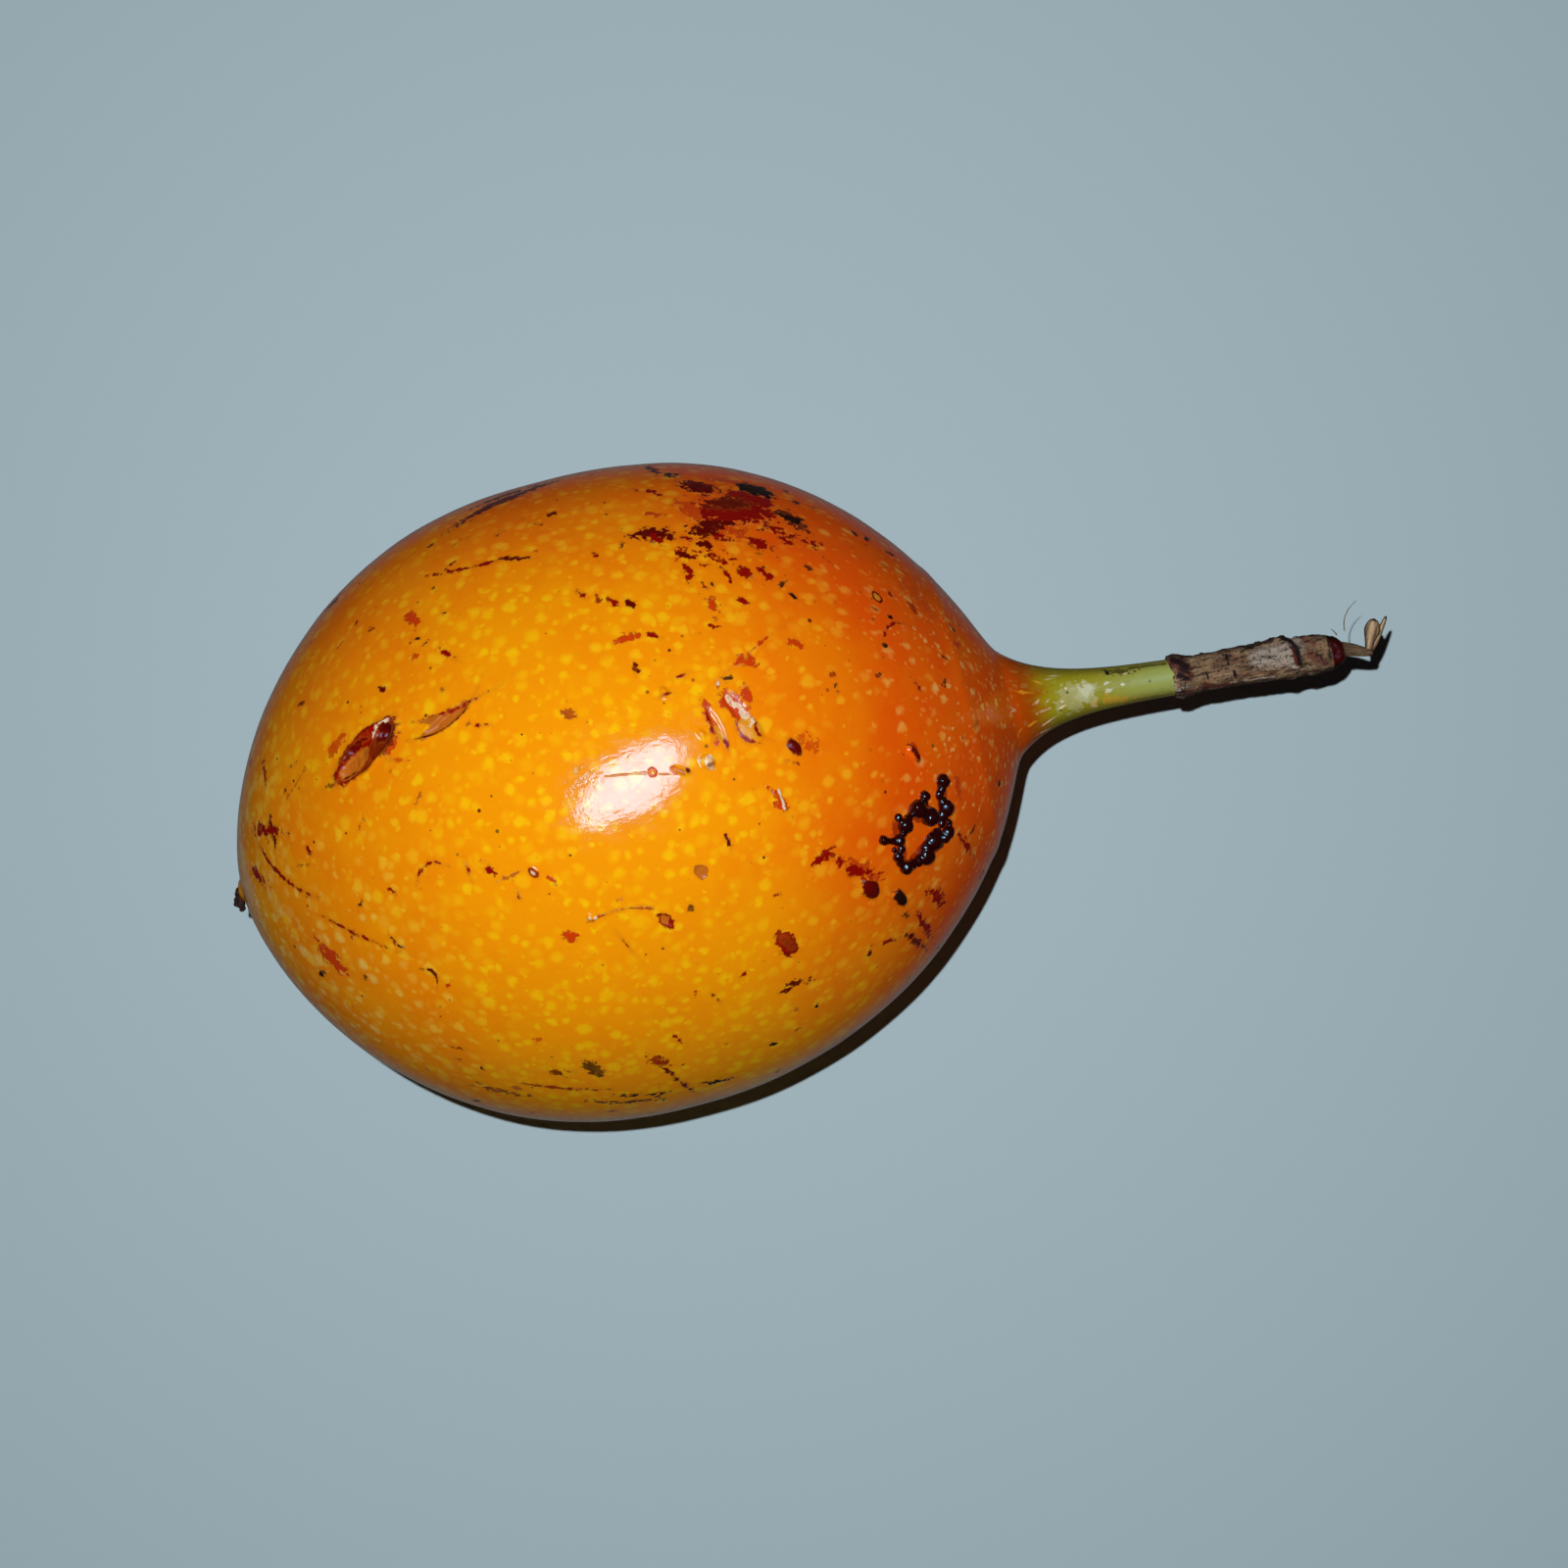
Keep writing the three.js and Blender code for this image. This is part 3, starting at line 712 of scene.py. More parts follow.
HIGHLIGHT_MARKS = (
    Mark((622, 792), (642, 790), 0.12, Tone.TAN, 0.06, 0.8, Layer.TOP),
    Mark((646, 789), (661, 789), 0.22, Tone.TAN, 0.1, 0.6, Layer.TOP),
    Mark((663, 785), (669, 791), 0.62, Tone.ORANGE_RED, 0.04, 0.8, Layer.TOP, ring=True),
    Mark((672, 790), (684, 790), 0.12, Tone.TAN, 0.06, 0.7, Layer.TOP),
    Mark((685, 784), (691, 788), 0.4, Tone.ORANGE_RED, 0.05, 0.6, Layer.TOP, ring=True),
    Mark((692, 785), (700, 790), 0.4, Tone.TAN, 0.12, 0.7, Layer.TOP),
    Mark((699, 783), (704, 789), 0.35, Tone.MAROON, 0.08, 1.0, Layer.TOP),
    Mark((584, 793), (592, 782), 0.3, Tone.AMBER, 0.25, 0.8),
    Mark((588, 800), (601, 788), 0.4, Tone.AMBER, 0.3, 0.6),
)

NECK_MARKS = (
    Mark((1036, 705), (1050, 707), 0.32, Tone.AMBER, 0.1, 0.6),
    Mark((1056, 695), (1064, 697), 0.18, Tone.AMBER, 0.05, 0.7),
    Mark((1066, 694), (1075, 692), 0.15, Tone.CREAM, 0.05, 0.45),
    Mark((1070, 690), (1080, 689), 0.14, Tone.CREAM, 0.04, 0.6),
    Mark((1056, 718), (1061, 714), 0.22, Tone.CREAM, 0.08, 0.45),
    Mark((1067, 717), (1073, 712), 0.16, Tone.CREAM, 0.08, 0.4),
    Mark((1060, 727), (1074, 722), 0.2, Tone.CREAM, 0.1, 0.35),
    Mark((1049, 741), (1058, 736), 0.3, Tone.AMBER, 0.1, 0.6),
    Mark((1063, 741), (1076, 732), 0.18, Tone.CREAM, 0.05, 0.85),
    Mark((1059, 749), (1071, 743), 0.2, Tone.CREAM, 0.08, 0.5),
    Mark((1038, 753), (1042, 744), 0.3, Tone.AMBER, 0.08, 0.5),
    Mark((1031, 727), (1035, 725), 0.18, Tone.CREAM, 0.05, 0.4),
    # Painted highlight: the whitish patch on top of the neck.
    Mark((1078, 721), (1117, 702), 2.4, Tone.WHITISH, 0.6, 0.18),
    Mark((1097, 699), (1117, 717), 1.7, Tone.WHITISH, 0.4, 0.2, Layer.OVER),
    Mark((1101, 701), (1113, 707), 1.0, Tone.WHITISH, 0.35, 0.35, Layer.TOP),
    # Painted glints: the tiny cream dots here on the neck.
    Mark((1086, 702), (1089, 703), 0.25, Tone.CREAM, 0.06, 0.95, Layer.TOP),
    Mark((1088, 706), (1090, 708), 0.18, Tone.BLACK, 0.05, 0.8, Layer.TOP),
    Mark((1082, 717), (1085, 715), 0.2, Tone.CREAM, 0.06, 0.7, Layer.TOP),
    Mark((1081, 723), (1087, 720), 0.2, Tone.CREAM, 0.05, 0.95, Layer.TOP),
    Mark((1081, 725), (1084, 724), 0.14, Tone.BLACK, 0.05, 0.7, Layer.TOP),
    Mark((1127, 698), (1134, 696), 0.2, Tone.WHITISH, 0.12, 0.8, Layer.OVER),
    Mark((1130, 704), (1136, 703), 0.35, Tone.WHITISH, 0.15, 0.6, Layer.OVER),
    Mark((1144, 698), (1147, 699), 0.22, Tone.WHITISH, 0.08, 0.8, Layer.OVER),
    Mark((1146, 688), (1150, 687), 0.2, Tone.CREAM, 0.08, 0.7, Layer.OVER),
    Mark((1126, 685), (1132, 688), 0.5, Tone.BLACK, 0.2, 0.9),
    Mark((1132, 686), (1152, 685), 0.8, Tone.OLIVE, 0.3, 0.85),
    Mark((1150, 683), (1192, 677), 0.3, Tone.OLIVE, 0.15, 0.8),
    Mark((1156, 685), (1160, 685), 0.25, Tone.OLIVE, 0.08, 0.9, Layer.OVER),
    Mark((1112, 716), (1160, 712), 0.7, Tone.AMBER, 0.4, 0.3),
    # Painted shade: a dark olive line along the neck's lower edge.
    Mark((1150, 716), (1190, 708), 0.3, Tone.OLIVE, 0.15, 0.5),
)


class Axis(Enum):
    """The direction that a band runs along, as a column of the points."""

    LENGTH = 0
    SIDE = 1
    HEIGHT = 2


@dataclass(frozen=True)
class Band:
    """A smooth change of the rind along one axis, from nothing at start to its share at end."""

    axis: Axis
    start: float
    end: float
    share: float = 1.0

    def at(self, points: Array) -> Array:
        """The change at each point."""
        return self.share * ease(points[:, self.axis.value], self.start, self.end)


BEFORE_NECK = Band(Axis.LENGTH, 41.0, 38.0)

# Each value of the rind is a sum of terms, and each term is the product of its bands.
GROWTH: dict[str, tuple[tuple[Band, ...], ...]] = {
    "ripe_and_painted_shade": (
        (Band(Axis.LENGTH, 4.0, 35.0),),
        (Band(Axis.LENGTH, -8.0, -20.0, 0.2),),
        # Painted shade: the rind turns deeper orange lower down its flanks.
        (Band(Axis.HEIGHT, 28.0, 6.0, 0.35),),
    ),
    "dusk": (
        (Band(Axis.LENGTH, 36.5, 40.0, 0.8),),
        (Band(Axis.LENGTH, 27.0, 34.0, 0.2), Band(Axis.SIDE, 2.0, 14.0)),
    ),
    "neck": ((Band(Axis.LENGTH, 37.8, 43.8),),),
    "neck_end": ((Band(Axis.LENGTH, 44.0, 53.0),),),
    "dot_size": (
        (Band(Axis.LENGTH, 16.0, 34.0, -0.4),),
        (Band(Axis.LENGTH, -24.0, -33.0, 0.3),),
    ),
    "fleck_size": (
        (Band(Axis.LENGTH, 24.0, 31.0), BEFORE_NECK),
        (Band(Axis.LENGTH, -22.0, -31.0),),
    ),
    "low_fleck_size": ((Band(Axis.HEIGHT, 38.0, 31.0, 0.9), BEFORE_NECK),),
    "creamy": (
        (Band(Axis.LENGTH, -12.0, -30.0, 0.85), Band(Axis.SIDE, 8.0, -14.0)),
        (Band(Axis.LENGTH, 22.0, 34.0, 0.85),),
        (Band(Axis.LENGTH, 34.0, 39.0, -0.45),),
        (Band(Axis.LENGTH, -25.0, -33.0, 0.6),),
        (Band(Axis.HEIGHT, 42.0, 30.0, 0.6),),
    ),
}

# Red flushes of the rind: the pixel of the middle, the reach in millimetres and how much riper.
FLUSHES = (
    ((770, 515), 8.0, 0.35),
    ((900, 565), 8.0, 0.25),
    ((935, 615), 6.0, 0.4),
    ((985, 690), 5.0, 0.4),
    ((900, 850), 6.0, 0.2),
)

RELIEFS = (
    Relief((343, 799), (403, 735), 3.1, -0.5, Form.WOUND),
    Relief((380, 753), (396, 739), 1.1, -0.5, Form.PIT),
    Relief((431, 753), (480, 717), 1.25, -0.3, Form.WOUND),
    Relief((735, 701), (767, 741), 1.6, -0.14, Form.PIT),
    Relief((756, 731), (777, 757), 1.8, 0.16, Form.DROP),
    Relief((719, 718), (743, 762), 0.8, -0.12, Form.PIT),
    Relief((788, 805), (803, 829), 0.7, 0.12, Form.DROP),
    Relief((716, 772), (728, 784), 1.1, 0.3, Form.DROP),
    Relief((712, 745), (720, 753), 0.6, 0.2, Form.DROP),
    Relief((880, 897), (895, 913), 1.6, 0.45, Form.DROP),
    Relief((912, 908), (923, 922), 1.1, 0.45, Form.DROP),
    Relief((926, 761), (938, 776), 1.0, 0.4, Form.DROP),
    Relief((793, 953), (811, 972), 1.6, 0.2, Form.DROP),
    Relief((804, 756), (817, 769), 1.0, 0.25, Form.DROP),
    Relief((673, 702), (682, 712), 0.8, 0.25, Form.DROP),
    Relief((540, 886), (548, 893), 0.6, 0.3, Form.DROP),
    Relief((599, 932), (607, 939), 0.55, 0.25, Form.DROP),
    Relief((710, 882), (721, 895), 1.1, -0.15, Form.PIT),
    Relief((672, 931), (685, 944), 1.0, -0.15, Form.PIT),
    Relief((663, 785), (669, 791), 0.55, 0.08, Form.DROP),
    Relief((685, 783), (703, 790), 0.6, 0.12, Form.DROP),
)


@dataclass(frozen=True)
class RindFinish:
    """Waxy orange rind: pale dots, freckles and marks, deeper colour on the shoulder, a green neck, with
    painted shade: deeper orange low on the flanks and darker sides of the neck.
    """

    yellow: Colour = (0.9, 0.31, 0.0015)
    deep: Colour = (0.84, 0.095, 0.0015)
    dusk: Colour = (0.25, 0.05, 0.001)
    dot_yellow: Colour = (0.93, 0.5, 0.003)
    dot_deep: Colour = (0.9, 0.25, 0.012)
    dot_cream: Colour = (0.86, 0.56, 0.16)
    neck_green: Colour = (0.31, 0.28, 0.006)
    neck_pale: Colour = (0.31, 0.36, 0.085)
    # Painted shade: the dark olive that the neck turns towards its sides.
    painted_neck_side_shade: Colour = (0.17, 0.14, 0.003)
    neck_fleck: Colour = (0.55, 0.55, 0.25)
    neck_dark: Colour = (0.16, 0.14, 0.02)
    freckles: tuple[Colour, Colour] = ((0.14, 0.02, 0.003), (0.2, 0.1, 0.006))
    tones: tuple[tuple[float, Colour], ...] = (
        (0.0, (0.82, 0.66, 0.45)),
        (0.07, (0.66, 0.7, 0.52)),
        (0.14, (0.76, 0.31, 0.012)),
        (0.26, (0.5, 0.13, 0.008)),
        (0.42, (0.6, 0.045, 0.002)),
        (0.6, (0.28, 0.0025, 0.0005)),
        (0.78, (0.12, 0.002, 0.0008)),
        (0.9, (0.085, 0.075, 0.006)),
        (1.0, (0.018, 0.005, 0.003)),
    )
    dots: tuple[tuple[float, float, float, str], ...] = (
        (1.42, 0.45, 0.88, "dot_size"),
        (1.15, 0.2, 0.52, "dot_size"),
        (0.75, 0.12, 0.34, "fleck_size"),
    )
    soft_edge: float = 0.06
    scuff_height: float = 0.026
    pore_height: float = 0.015
    mark_height: float = 0.09
    drift: float = 0.14
    sheen: Pixel = (0.15, 0.085)
    mark_dullness: float = 0.1
    neck_dullness: float = 0.36

    def build(self) -> bpy.types.Material:
        """Writes the rind's material."""
        shader = Shader("waxy_orange_rind")
        place = shader.millimetres()
        grown = shader.attribute("grown", "Vector")
        fray = shader.noise(place, 0.6, 6.0, 0.62)
        colour = self.ground(shader, place, grown)
        colour = self.freckled(shader, place, colour)
        cover: Socket | None = None
        for layer in Layer:
            colour, mask = self.marks(shader, layer, fray, place, colour)
            cover = mask if cover is None else shader.math("MAXIMUM", cover, mask)
        scuffs = shader.noise(shader.stretch(place, (0.5, 1.0, 1.0)), 0.9, 3.0, 0.6)
        pores = shader.noise(place, 0.4, 2.0, 0.6)
        raised = shader.math("MULTIPLY", cover, fray)
        grain = shader.total((scuffs, self.scuff_height), (pores, self.pore_height))
        height = shader.total((grain, 1.0), (raised, self.mark_height))
        sheen = shader.rise(scuffs, 0.4, 0.7, *self.sheen)
        neck = shader.attribute("neck")
        return shader.surface(
            Base_Color=colour,
            Roughness=shader.total((sheen, 1.0), (cover, self.mark_dullness), (neck, self.neck_dullness)),
            Normal=shader.bump(height, 0.8),
            IOR=1.45,
            Subsurface_Weight=0.04,
            Subsurface_Radius=(1.0, 0.35, 0.05),
            Subsurface_Scale=0.001,
        )

    def ground(self, shader: Shader, place: Socket, grown: Socket) -> Socket:
        """The rind's colour, with its pale dots and the green of the neck, and painted shade: deeper orange
        low on the flanks and darker sides of the neck.
        """
        drift = shader.noise(place, 7.0, 4.0, 0.6)
        drifted = shader.rise(drift, 0.3, 0.7, self.drift, -self.drift)
        ripe_and_painted_shade = shader.math("ADD", shader.attribute("ripe_and_painted_shade"), drifted, clamp=True)
        # The ripe share also carries painted shade: deeper orange low on the flanks.
        colour = shader.mix(ripe_and_painted_shade, self.yellow, self.deep)
        wander = shader.node("ShaderNodeTexNoise", {"Vector": grown, "Scale": 1.3, "Detail": 2.0}).outputs[1]
        wander = shader.stretch(wander, (0.7, 0.7, 0.7))
        shifted = shader.node("ShaderNodeVectorMath", {0: wander, 1: grown}, operation="ADD").outputs[0]
        dot_colour = shader.mix(ripe_and_painted_shade, self.dot_yellow, self.dot_deep)
        for size, least, most, growth in self.dots:
            distance, random = shader.cells(shifted, size)
            pick, share, shade = shader.split(random)
            reach = shader.total((pick, most - least), (least, 1.0))
            reach = shader.math("MULTIPLY", reach, shader.attribute(growth))
            strength = shader.rise(share, 0.0, 1.0, 0.95, 0.3)
            outer, inner = shader.math("MULTIPLY", reach, 1.1), shader.math("MULTIPLY", reach, 0.35)
            dots = shader.rise(distance, outer, inner, strength)
            creamy = shader.math("MULTIPLY", shader.attribute("creamy"), shade)
            colour = shader.mix(dots, colour, shader.mix(creamy, dot_colour, self.dot_cream))
        colour = shader.mix(shader.attribute("dusk"), colour, self.dusk)
        streaks = shader.noise(shader.stretch(place, (0.16, 1.0, 1.0)), 0.7, 4.0, 0.6)
        green = shader.mix(shader.attribute("neck_end"), self.neck_green, self.neck_pale)
        # Painted shade: the neck darkens towards its sides.
        green = shader.mix(shader.attribute("painted_neck_side_shade"), green, self.painted_neck_side_shade)
        flecks = shader.noise(place, 0.4, 4.0, 0.7)
        green = shader.mix(shader.rise(flecks, 0.58, 0.72, 0.45), green, self.neck_fleck)
        dark = shader.rise(shader.math("ADD", flecks, streaks), 0.88, 0.72, 0.4)
        green = shader.mix(dark, green, self.neck_dark)
        share = shader.math("ADD", shader.attribute("neck"), shader.rise(streaks, 0.3, 0.7, 0.1, -0.1))
        return shader.mix(shader.rise(share, 0.1, 0.9), colour, green)

    def freckled(self, shader: Shader, place: Socket, colour: Socket) -> Socket:
        """Tiny dark dots, of many sizes and of two browns, over a colour."""
        for size, least, most in ((1.35, 0.02, 0.24), (2.7, 0.06, 0.3)):
            distance, random = shader.cells(place, size)
            pick, share, shade = shader.split(random)
            reach = shader.total((shader.math("POWER", pick, 2.0), most - least), (least, 1.0))
            strength = shader.rise(share, 0.15, 0.8, 1.0, 0.15)
            dots = shader.rise(distance, reach, shader.math("MULTIPLY", reach, 0.45), strength)
            tint = shader.mix(shader.rise(shade, 0.5, 0.7), self.freckles[0], self.freckles[1])
            colour = shader.mix(dots, colour, tint)
        return colour

    def marks(
        self, shader: Shader, layer: Layer, fray: Socket, place: Socket, colour: Socket
    ) -> tuple[Socket, Socket]:
        """Paints one layer of marks over a colour.

        Args:
            shader: The material being written.
            layer: Which layer's attributes to read.
            fray: Noise that frays the marks' edges.
            place: The point in millimetres.
            colour: The colour under the layer.

        Returns:
            The new colour, and how much the marks cover.
        """
        along, across, half = shader.split(shader.attribute(f"{layer.value}_plan", "Vector"))
        tone, strength, ragged = shader.split(shader.attribute(f"{layer.value}_nature", "Vector"))
        square = shader.math("ADD", shader.math("POWER", along, 2.0), shader.math("POWER", across, 2.0))
        share = shader.math("SQRT", square)
        wander = shader.math("SUBTRACT", fray, 0.5)
        uneven = shader.math("MULTIPLY", wander, shader.math("MULTIPLY", ragged, 6.0))
        past = shader.math("MULTIPLY", shader.math("SUBTRACT", share, 1.0), half)
        edge = shader.math("ADD", past, uneven)
        solid = shader.rise(edge, self.soft_edge, -self.soft_edge)
        ring = shader.rise(shader.math("ABSOLUTE", edge), 0.13, 0.04)
        hollow = shader.math("LESS_THAN", strength, 0.0)
        body = shader.node("ShaderNodeMix", {0: hollow, 2: solid, 3: ring}).outputs[0]
        mottle = shader.rise(shader.noise(place, 0.7, 4.0, 0.65), 0.38, 0.55, 1.25, 1.03)
        depth = shader.math("MULTIPLY", shader.math("ABSOLUTE", strength), mottle, clamp=True)
        cover = shader.math("MULTIPLY", body, depth)
        halo = shader.rise(edge, 0.35, -0.1)
        halo = shader.math("MULTIPLY", halo, shader.rise(tone, 0.35, 0.5))
        halo = shader.math("MULTIPLY", halo, shader.rise(shader.attribute("neck"), 0.0, 0.3, 0.0, 0.35))
        colour = shader.mix(halo, colour, self.tones[3][1])
        return shader.mix(cover, colour, shader.ramp(tone, self.tones)), cover


@dataclass
class Fruit:
    """The fruit's rind with its neck: a fine skin with relief, carrying every mark as attributes."""

    shape: FruitShape
    view: PhotoView
    rings: int = 190
    sides: int = 256
    neck_end: float = 53.9
    tip: float = -35.97
    relief_cuts: int = 4
    relief_margin: float = 0.7
    floor_soft: float = 0.1
    undulation: float = 0.05
    rim_share: float = 0.22
    hidden_marks: int = 190
    ticks: int = 150
    mark_seed: int = 41
    clean: tuple[float, float, float] = (2.5, 0.0, 8.0)
    edge_flush: tuple[float, float, float] = (6.0, 24.0, 0.85)
    neck_shade: float = 0.8
    dot_stretch: tuple[float, float, float] = (25.0, 5.0, 0.65)
    patches: dict[Layer, list[tuple[Patch, Mark]]] = field(default_factory=dict)

    def stations(self) -> Array:
        """The x of each ring, evenly spaced along the skin's own outline."""
        x = np.linspace(self.tip, self.neck_end, 6000)
        outline = np.concatenate([[0.0], np.cumsum(np.hypot(np.diff(x), np.diff(self.shape.skin_radius(x))))])
        return np.interp(np.linspace(0.0, outline[-1], self.rings), outline, x)

    def patch_of(self, start: Pixel, end: Pixel, width: float, bend: float = 0.0) -> Patch:
        """The patch of rind between two pixels."""
        ends = np.array([self.view.on_rind(self.shape, start), self.view.on_rind(self.shape, end)])
        return Patch.between(self.shape, ends, width, bend)

    def refined_plan(self, reliefs: Sequence[Patch]) -> tuple[Array, list[list[int]]]:
        """Unrolls the skin to a grid of x and angle, with finer faces where it has relief.

        Args:
            reliefs: The patches that need the finer faces.

        Returns:
            The x and angle of each vertex, and the faces, joined where the grid meets itself.
        """
        stations = self.stations()
        angles = np.linspace(-180.0, 180.0, self.sides + 1)
        plan = bmesh.new()
        grid = [[plan.verts.new((x, angle, 0.0)) for angle in angles] for x in stations]
        for ring in range(self.rings - 1):
            for side in range(self.sides):
                here, after = grid[ring], grid[ring + 1]
                plan.faces.new((here[side], after[side], after[side + 1], here[side + 1]))
        centres = np.array([face.calc_center_median()[:2] for face in plan.faces])
        places = self.shape.skin(centres[:, 0], centres[:, 1])
        near = np.zeros(len(places), bool)
        for patch in reliefs:
            near |= patch.distance(places) < self.relief_margin
        edges = {edge for face, wanted in zip(plan.faces, near) if wanted for edge in face.edges}
        ordered = [edge for edge in plan.edges if edge in edges]
        bmesh.ops.subdivide_edges(plan, edges=ordered, cuts=self.relief_cuts, use_grid_fill=True)
        bmesh.ops.triangulate(plan, faces=[face for face in plan.faces if len(face.verts) > 4])
        plan.verts.index_update()
        params = np.array([vertex.co[:2] for vertex in plan.verts])
        faces = [[vertex.index for vertex in face.verts] for face in plan.faces]
        plan.free()
        return self.joined(params, faces)

    def joined(self, params: Array, faces: list[list[int]]) -> tuple[Array, list[list[int]]]:
        """Joins the two edges of the unrolled skin, which meet under the fruit."""
        first = {round(float(x), 4): index for index, (x, angle) in enumerate(params) if angle < -179.999}
        index = np.arange(len(params))
        seam = params[:, 1] > 179.999
        index[seam] = [first[round(float(x), 4)] for x in params[seam, 0]]
        kept = np.nonzero(~seam)[0]
        number = np.full(len(params), -1)
        number[kept] = np.arange(len(kept))
        return params[kept], [[int(number[index[vertex]]) for vertex in face] for face in faces]

    def capped(self, params: Array, faces: list[list[int]]) -> list[list[int]]:
        """Closes the tip and the neck's end with a fan to two vertices that follow the others."""
        closed = list(faces)
        for x, centre, flip in ((self.tip, len(params), False), (self.neck_end, len(params) + 1, True)):
            ring = np.nonzero(np.abs(params[:, 0] - x) < 1e-3)[0]
            ring = ring[np.argsort(params[ring, 1])].tolist()
            for here, after in zip(ring, ring[1:] + ring[:1]):
                closed.append([centre, after, here] if flip else [centre, here, after])
        return closed

    def relief(self, points: Array, reliefs: Sequence[tuple[Patch, Relief]]) -> Array:
        """How far the wounds, drops and pits lift the rind at each point."""
        lift = np.zeros(len(points))
        frayed = rough(points, 0.8, 3, 5.0)
        for patch, relief in reliefs:
            along, across = patch.plan(points)
            near = np.linalg.norm(points - patch.centre, axis=1) < patch.half_length + 3.0
            share = np.where(near, np.hypot(along, across), 9.0) + 0.12 * frayed * near
            if relief.form is Form.DROP:
                lift += relief.height * np.sqrt(np.clip(1.0 - share**2, 0.0, None))
                continue
            lift += relief.height * ease(share, 1.0, 0.55) * (1.0 + 0.35 * frayed)
            if relief.form is Form.WOUND:
                edge = (share - 1.0) * patch.half_width / 0.22
                lift += self.rim_share * abs(relief.height) * np.exp(-edge * edge) * (1.0 + 0.6 * frayed)
        return lift

    def store_marks(self, mesh: bpy.types.Mesh, points: Array, faces: list[list[int]]) -> None:
        """Gives each face the mark that lies nearest, as the corners' places on that mark's plan."""
        centres = np.array([points[face].mean(0) for face in faces])
        counts = np.array([len(face) for face in faces])
        corners = points[np.concatenate([np.array(face) for face in faces])]
        for layer, marks in self.patches.items():
            distances = np.full((len(marks), len(faces)), np.inf, np.float32)
            for row, (patch, _) in enumerate(marks):
                distances[row] = patch.distance(centres)
            nearest = np.repeat(distances.argmin(0), counts)
            plan = np.zeros((len(corners), 3), np.float32)
            nature = np.zeros((len(corners), 3), np.float32)
            for row, (patch, mark) in enumerate(marks):
                mine = nearest == row
                along, across = patch.plan(corners[mine])
                plan[mine] = np.stack([along, across, np.full_like(along, patch.half_width)], axis=1)
                nature[mine] = (mark.tone.value, -mark.strength if mark.ring else mark.strength, mark.ragged)
            for name, values in (("plan", plan), ("nature", nature)):
                store = mesh.attributes.new(f"{layer.value}_{name}", "FLOAT_VECTOR", "CORNER")
                store.data.foreach_set("vector", values.ravel())

    def place_marks(self) -> None:
        """Lays the marks that the photograph shows, and seeded ones on the sides that it doesn't."""
        self.patches = {layer: [] for layer in Layer}
        for mark in WOUND_MARKS + PATCH_MARKS + SIDE_MARKS + HIGHLIGHT_MARKS + NECK_MARKS:
            patch = self.patch_of(mark.start, mark.end, mark.width, mark.bend)
            self.patches[mark.layer].append((patch, mark))
        random = np.random.default_rng(self.mark_seed)
        for number in range(self.hidden_marks + self.ticks):
            seeded = self.seeded_mark(random, number < self.hidden_marks)
            if seeded is not None:
                self.patches[Layer.UNDER].append(seeded)

    def seeded_mark(self, random: np.random.Generator, hidden: bool) -> tuple[Patch, Mark] | None:
        """Draws one mark of the rind.

        Args:
            random: Where the draws come from.
            hidden: Whether it lies on the sides that the photograph doesn't show, with larger marks.

        Returns:
            The mark with its patch, or nothing where it would lie in the highlight.
        """
        x = random.uniform(-33.0, 36.0)
        angle = random.uniform(88.0, 272.0) if hidden else random.uniform(-88.0, 88.0)
        length = 0.5 + 1.4 * random.pareto(2.2) if hidden else random.uniform(0.25, 0.8)
        heading = random.uniform(0.0, math.pi)
        width = min(length, 4.0) * random.uniform(0.25, 0.9)
        length = min(length, 7.0)
        run = np.array([math.cos(heading) * length, math.sin(heading) * length])
        reach = max(float(self.shape.skin_radius(np.array([x]))[0]), 3.0)
        half = run / 2.0 / np.array([1.0, math.radians(1.0) * reach])
        ends = np.array([[x, angle] - half, [x, angle] + half])
        tone = Tone(float(random.choice(SEEDED_TONES)))
        if math.hypot(x - self.clean[0], (angle - self.clean[1]) / 2.0) < self.clean[2]:
            return None
        mark = Mark((0, 0), (0, 0), width, tone, 0.25 + 0.15 * width, random.uniform(0.6, 0.95))
        return Patch.between(self.shape, ends, width), mark

    def build(self, finish: bpy.types.Material) -> bpy.types.Object:
        """Makes the fruit's skin and dresses it."""
        self.place_marks()
        reliefs = [(self.patch_of(item.start, item.end, item.width), item) for item in RELIEFS]
        params, faces = self.refined_plan([patch for patch, _ in reliefs])
        x, angle = params[:, 0], params[:, 1]
        bare = self.shape.skin(x, angle)
        lift = self.relief(bare, reliefs) + self.undulation * rough(bare, 7.0, 2) * ease(x, 46.0, 36.0)
        points = bare + self.shape.outward(x, angle) * lift[:, None]
        ends = self.shape.middle(np.array([self.shape.nub_at - self.shape.nub_radius, self.neck_end]))
        faces = self.capped(params, faces)
        points, bare = np.vstack([points, ends]), np.vstack([bare, ends])
        points[:, 2] = soft_ramp(points[:, 2], self.floor_soft)
        piece = mesh_object("fruit_rind", points, faces)
        self.store_marks(piece.data, bare, faces)
        self.store_growth(piece.data, bare)
        finish_piece(piece, finish, "fruit")
        return piece

    def flushed(self, points: Array) -> Array:
        """How much riper than the bands say the rind is, towards its left edge and in its red flushes."""
        start, span, share = self.edge_flush
        riper = share * (np.clip(points[:, 1] - start, 0.0, span) / span) ** 2
        for pixel, reach, share in FLUSHES:
            place = self.view.on_rind(self.shape, pixel)
            away = np.linalg.norm(points - self.shape.skin(place[:1], place[1:]), axis=1)
            riper += share * np.exp(-((away / reach) ** 2))
        return riper

